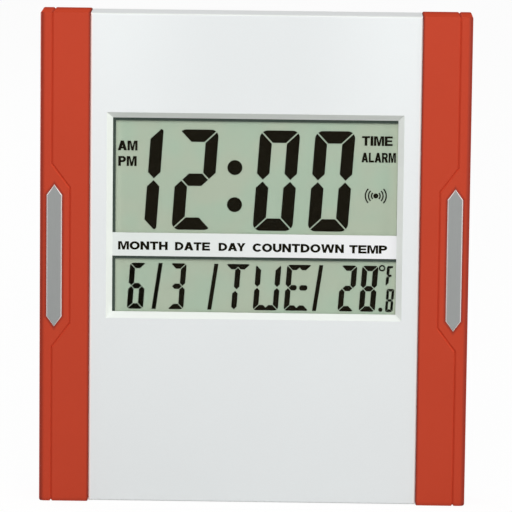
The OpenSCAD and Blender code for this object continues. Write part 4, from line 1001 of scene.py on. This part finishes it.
def studio():
    """A pale floor, soft light from all round, a large lamp in front, one behind, and small ones at the right
    and near the upper left corner."""
    world = bpy.data.worlds.new("studio")
    world.use_nodes = True
    world.node_tree.nodes.clear()
    sky = Wiring(world.node_tree)
    seen = sky.seen()
    sky.end("World", sky.add("Background", sockets={"Color": WHITE, "Strength": seen + SKY * (1.0 - seen)}))
    bpy.context.scene.world = world

    paint = bpy.data.materials.new("studio_floor")
    paint.use_nodes = True
    paint.node_tree.nodes.clear()
    floor = Wiring(paint.node_tree)
    pale = floor.add("BsdfDiffuse", sockets={"Color": shade(WHITE, FLOOR_PALE)})
    bounce = floor.add("BsdfDiffuse", sockets={"Color": shade(WHITE, FLOOR_BOUNCE)})
    glow = floor.add("Emission", sockets={"Color": WHITE, "Strength": 1.0})
    shown = floor.add("MixShader", sockets={0: FLOOR_SHADE, 1: glow, 2: pale})
    floor.end("Material", floor.add("MixShader", sockets={0: floor.seen(), 1: bounce, 2: shown}))
    edge = FLOOR_HALF * np.array([[-1, -1, 0], [1, -1, 0], [1, 1, 0], [-1, 1, 0]])
    sheet = bpy.data.meshes.new("floor")
    sheet.from_pydata(edge.tolist(), [], [[0, 1, 2, 3]])
    sheet.materials.append(paint)
    ground = bpy.data.objects.new("floor", sheet)
    bpy.context.scene.collection.objects.link(ground)

    for name, (place, aim, size, power) in LAMPS.items():
        lamp = bpy.data.lights.new(name, "AREA")
        lamp.size = size
        lamp.energy = power
        stand = bpy.data.objects.new(name, lamp)
        stand.location = place
        stand.rotation_euler = (Vector(aim) - Vector(place)).to_track_quat("-Z", "Y").to_euler()
        bpy.context.scene.collection.objects.link(stand)


def camera():
    """A long lens a little above the clock, with the turn, dip and roll of the photograph."""
    side = Vector((math.cos(CAMERA_TURN), -math.sin(CAMERA_TURN), 0))
    level = Vector((math.sin(CAMERA_TURN), math.cos(CAMERA_TURN), 0))
    ahead = level * math.cos(CAMERA_DIP) - Vector((0, 0, math.sin(CAMERA_DIP)))
    above = level * math.sin(CAMERA_DIP) + Vector((0, 0, math.cos(CAMERA_DIP)))
    right = side * math.cos(CAMERA_ROLL) + above * math.sin(CAMERA_ROLL)
    up = above * math.cos(CAMERA_ROLL) - side * math.sin(CAMERA_ROLL)
    lens = bpy.data.cameras.new("camera")
    lens.lens = LENS_MM
    lens.sensor_width = SENSOR_MM
    lens.clip_end = SIGHT
    eye = bpy.data.objects.new("camera", lens)
    turned = Matrix((right, up, -ahead)).transposed().to_4x4()
    eye.matrix_world = Matrix.Translation(CAMERA_PLACE) @ turned
    bpy.context.scene.collection.objects.link(eye)
    bpy.context.scene.camera = eye


FINISHES = finishes()
for entry in frame["record"]["subparts"]:
    surface = frame["nodes"][entry["node"]].data
    surface.materials.clear()
    surface.materials.append(FINISHES[entry["material_slot"]].material)

words()
alarm_sign()
unit_bars()
screws("case_screws", corner_places("case_screws", rows=3), side=1)
screws("board_screws", corner_places("board_screws", rows=2), side=1)
screws("key_board_screws", corner_places("key_board_screws", rows=2), side=-1)
springs()
studio()
camera()
bpy.context.scene.view_settings.view_transform = "Standard"
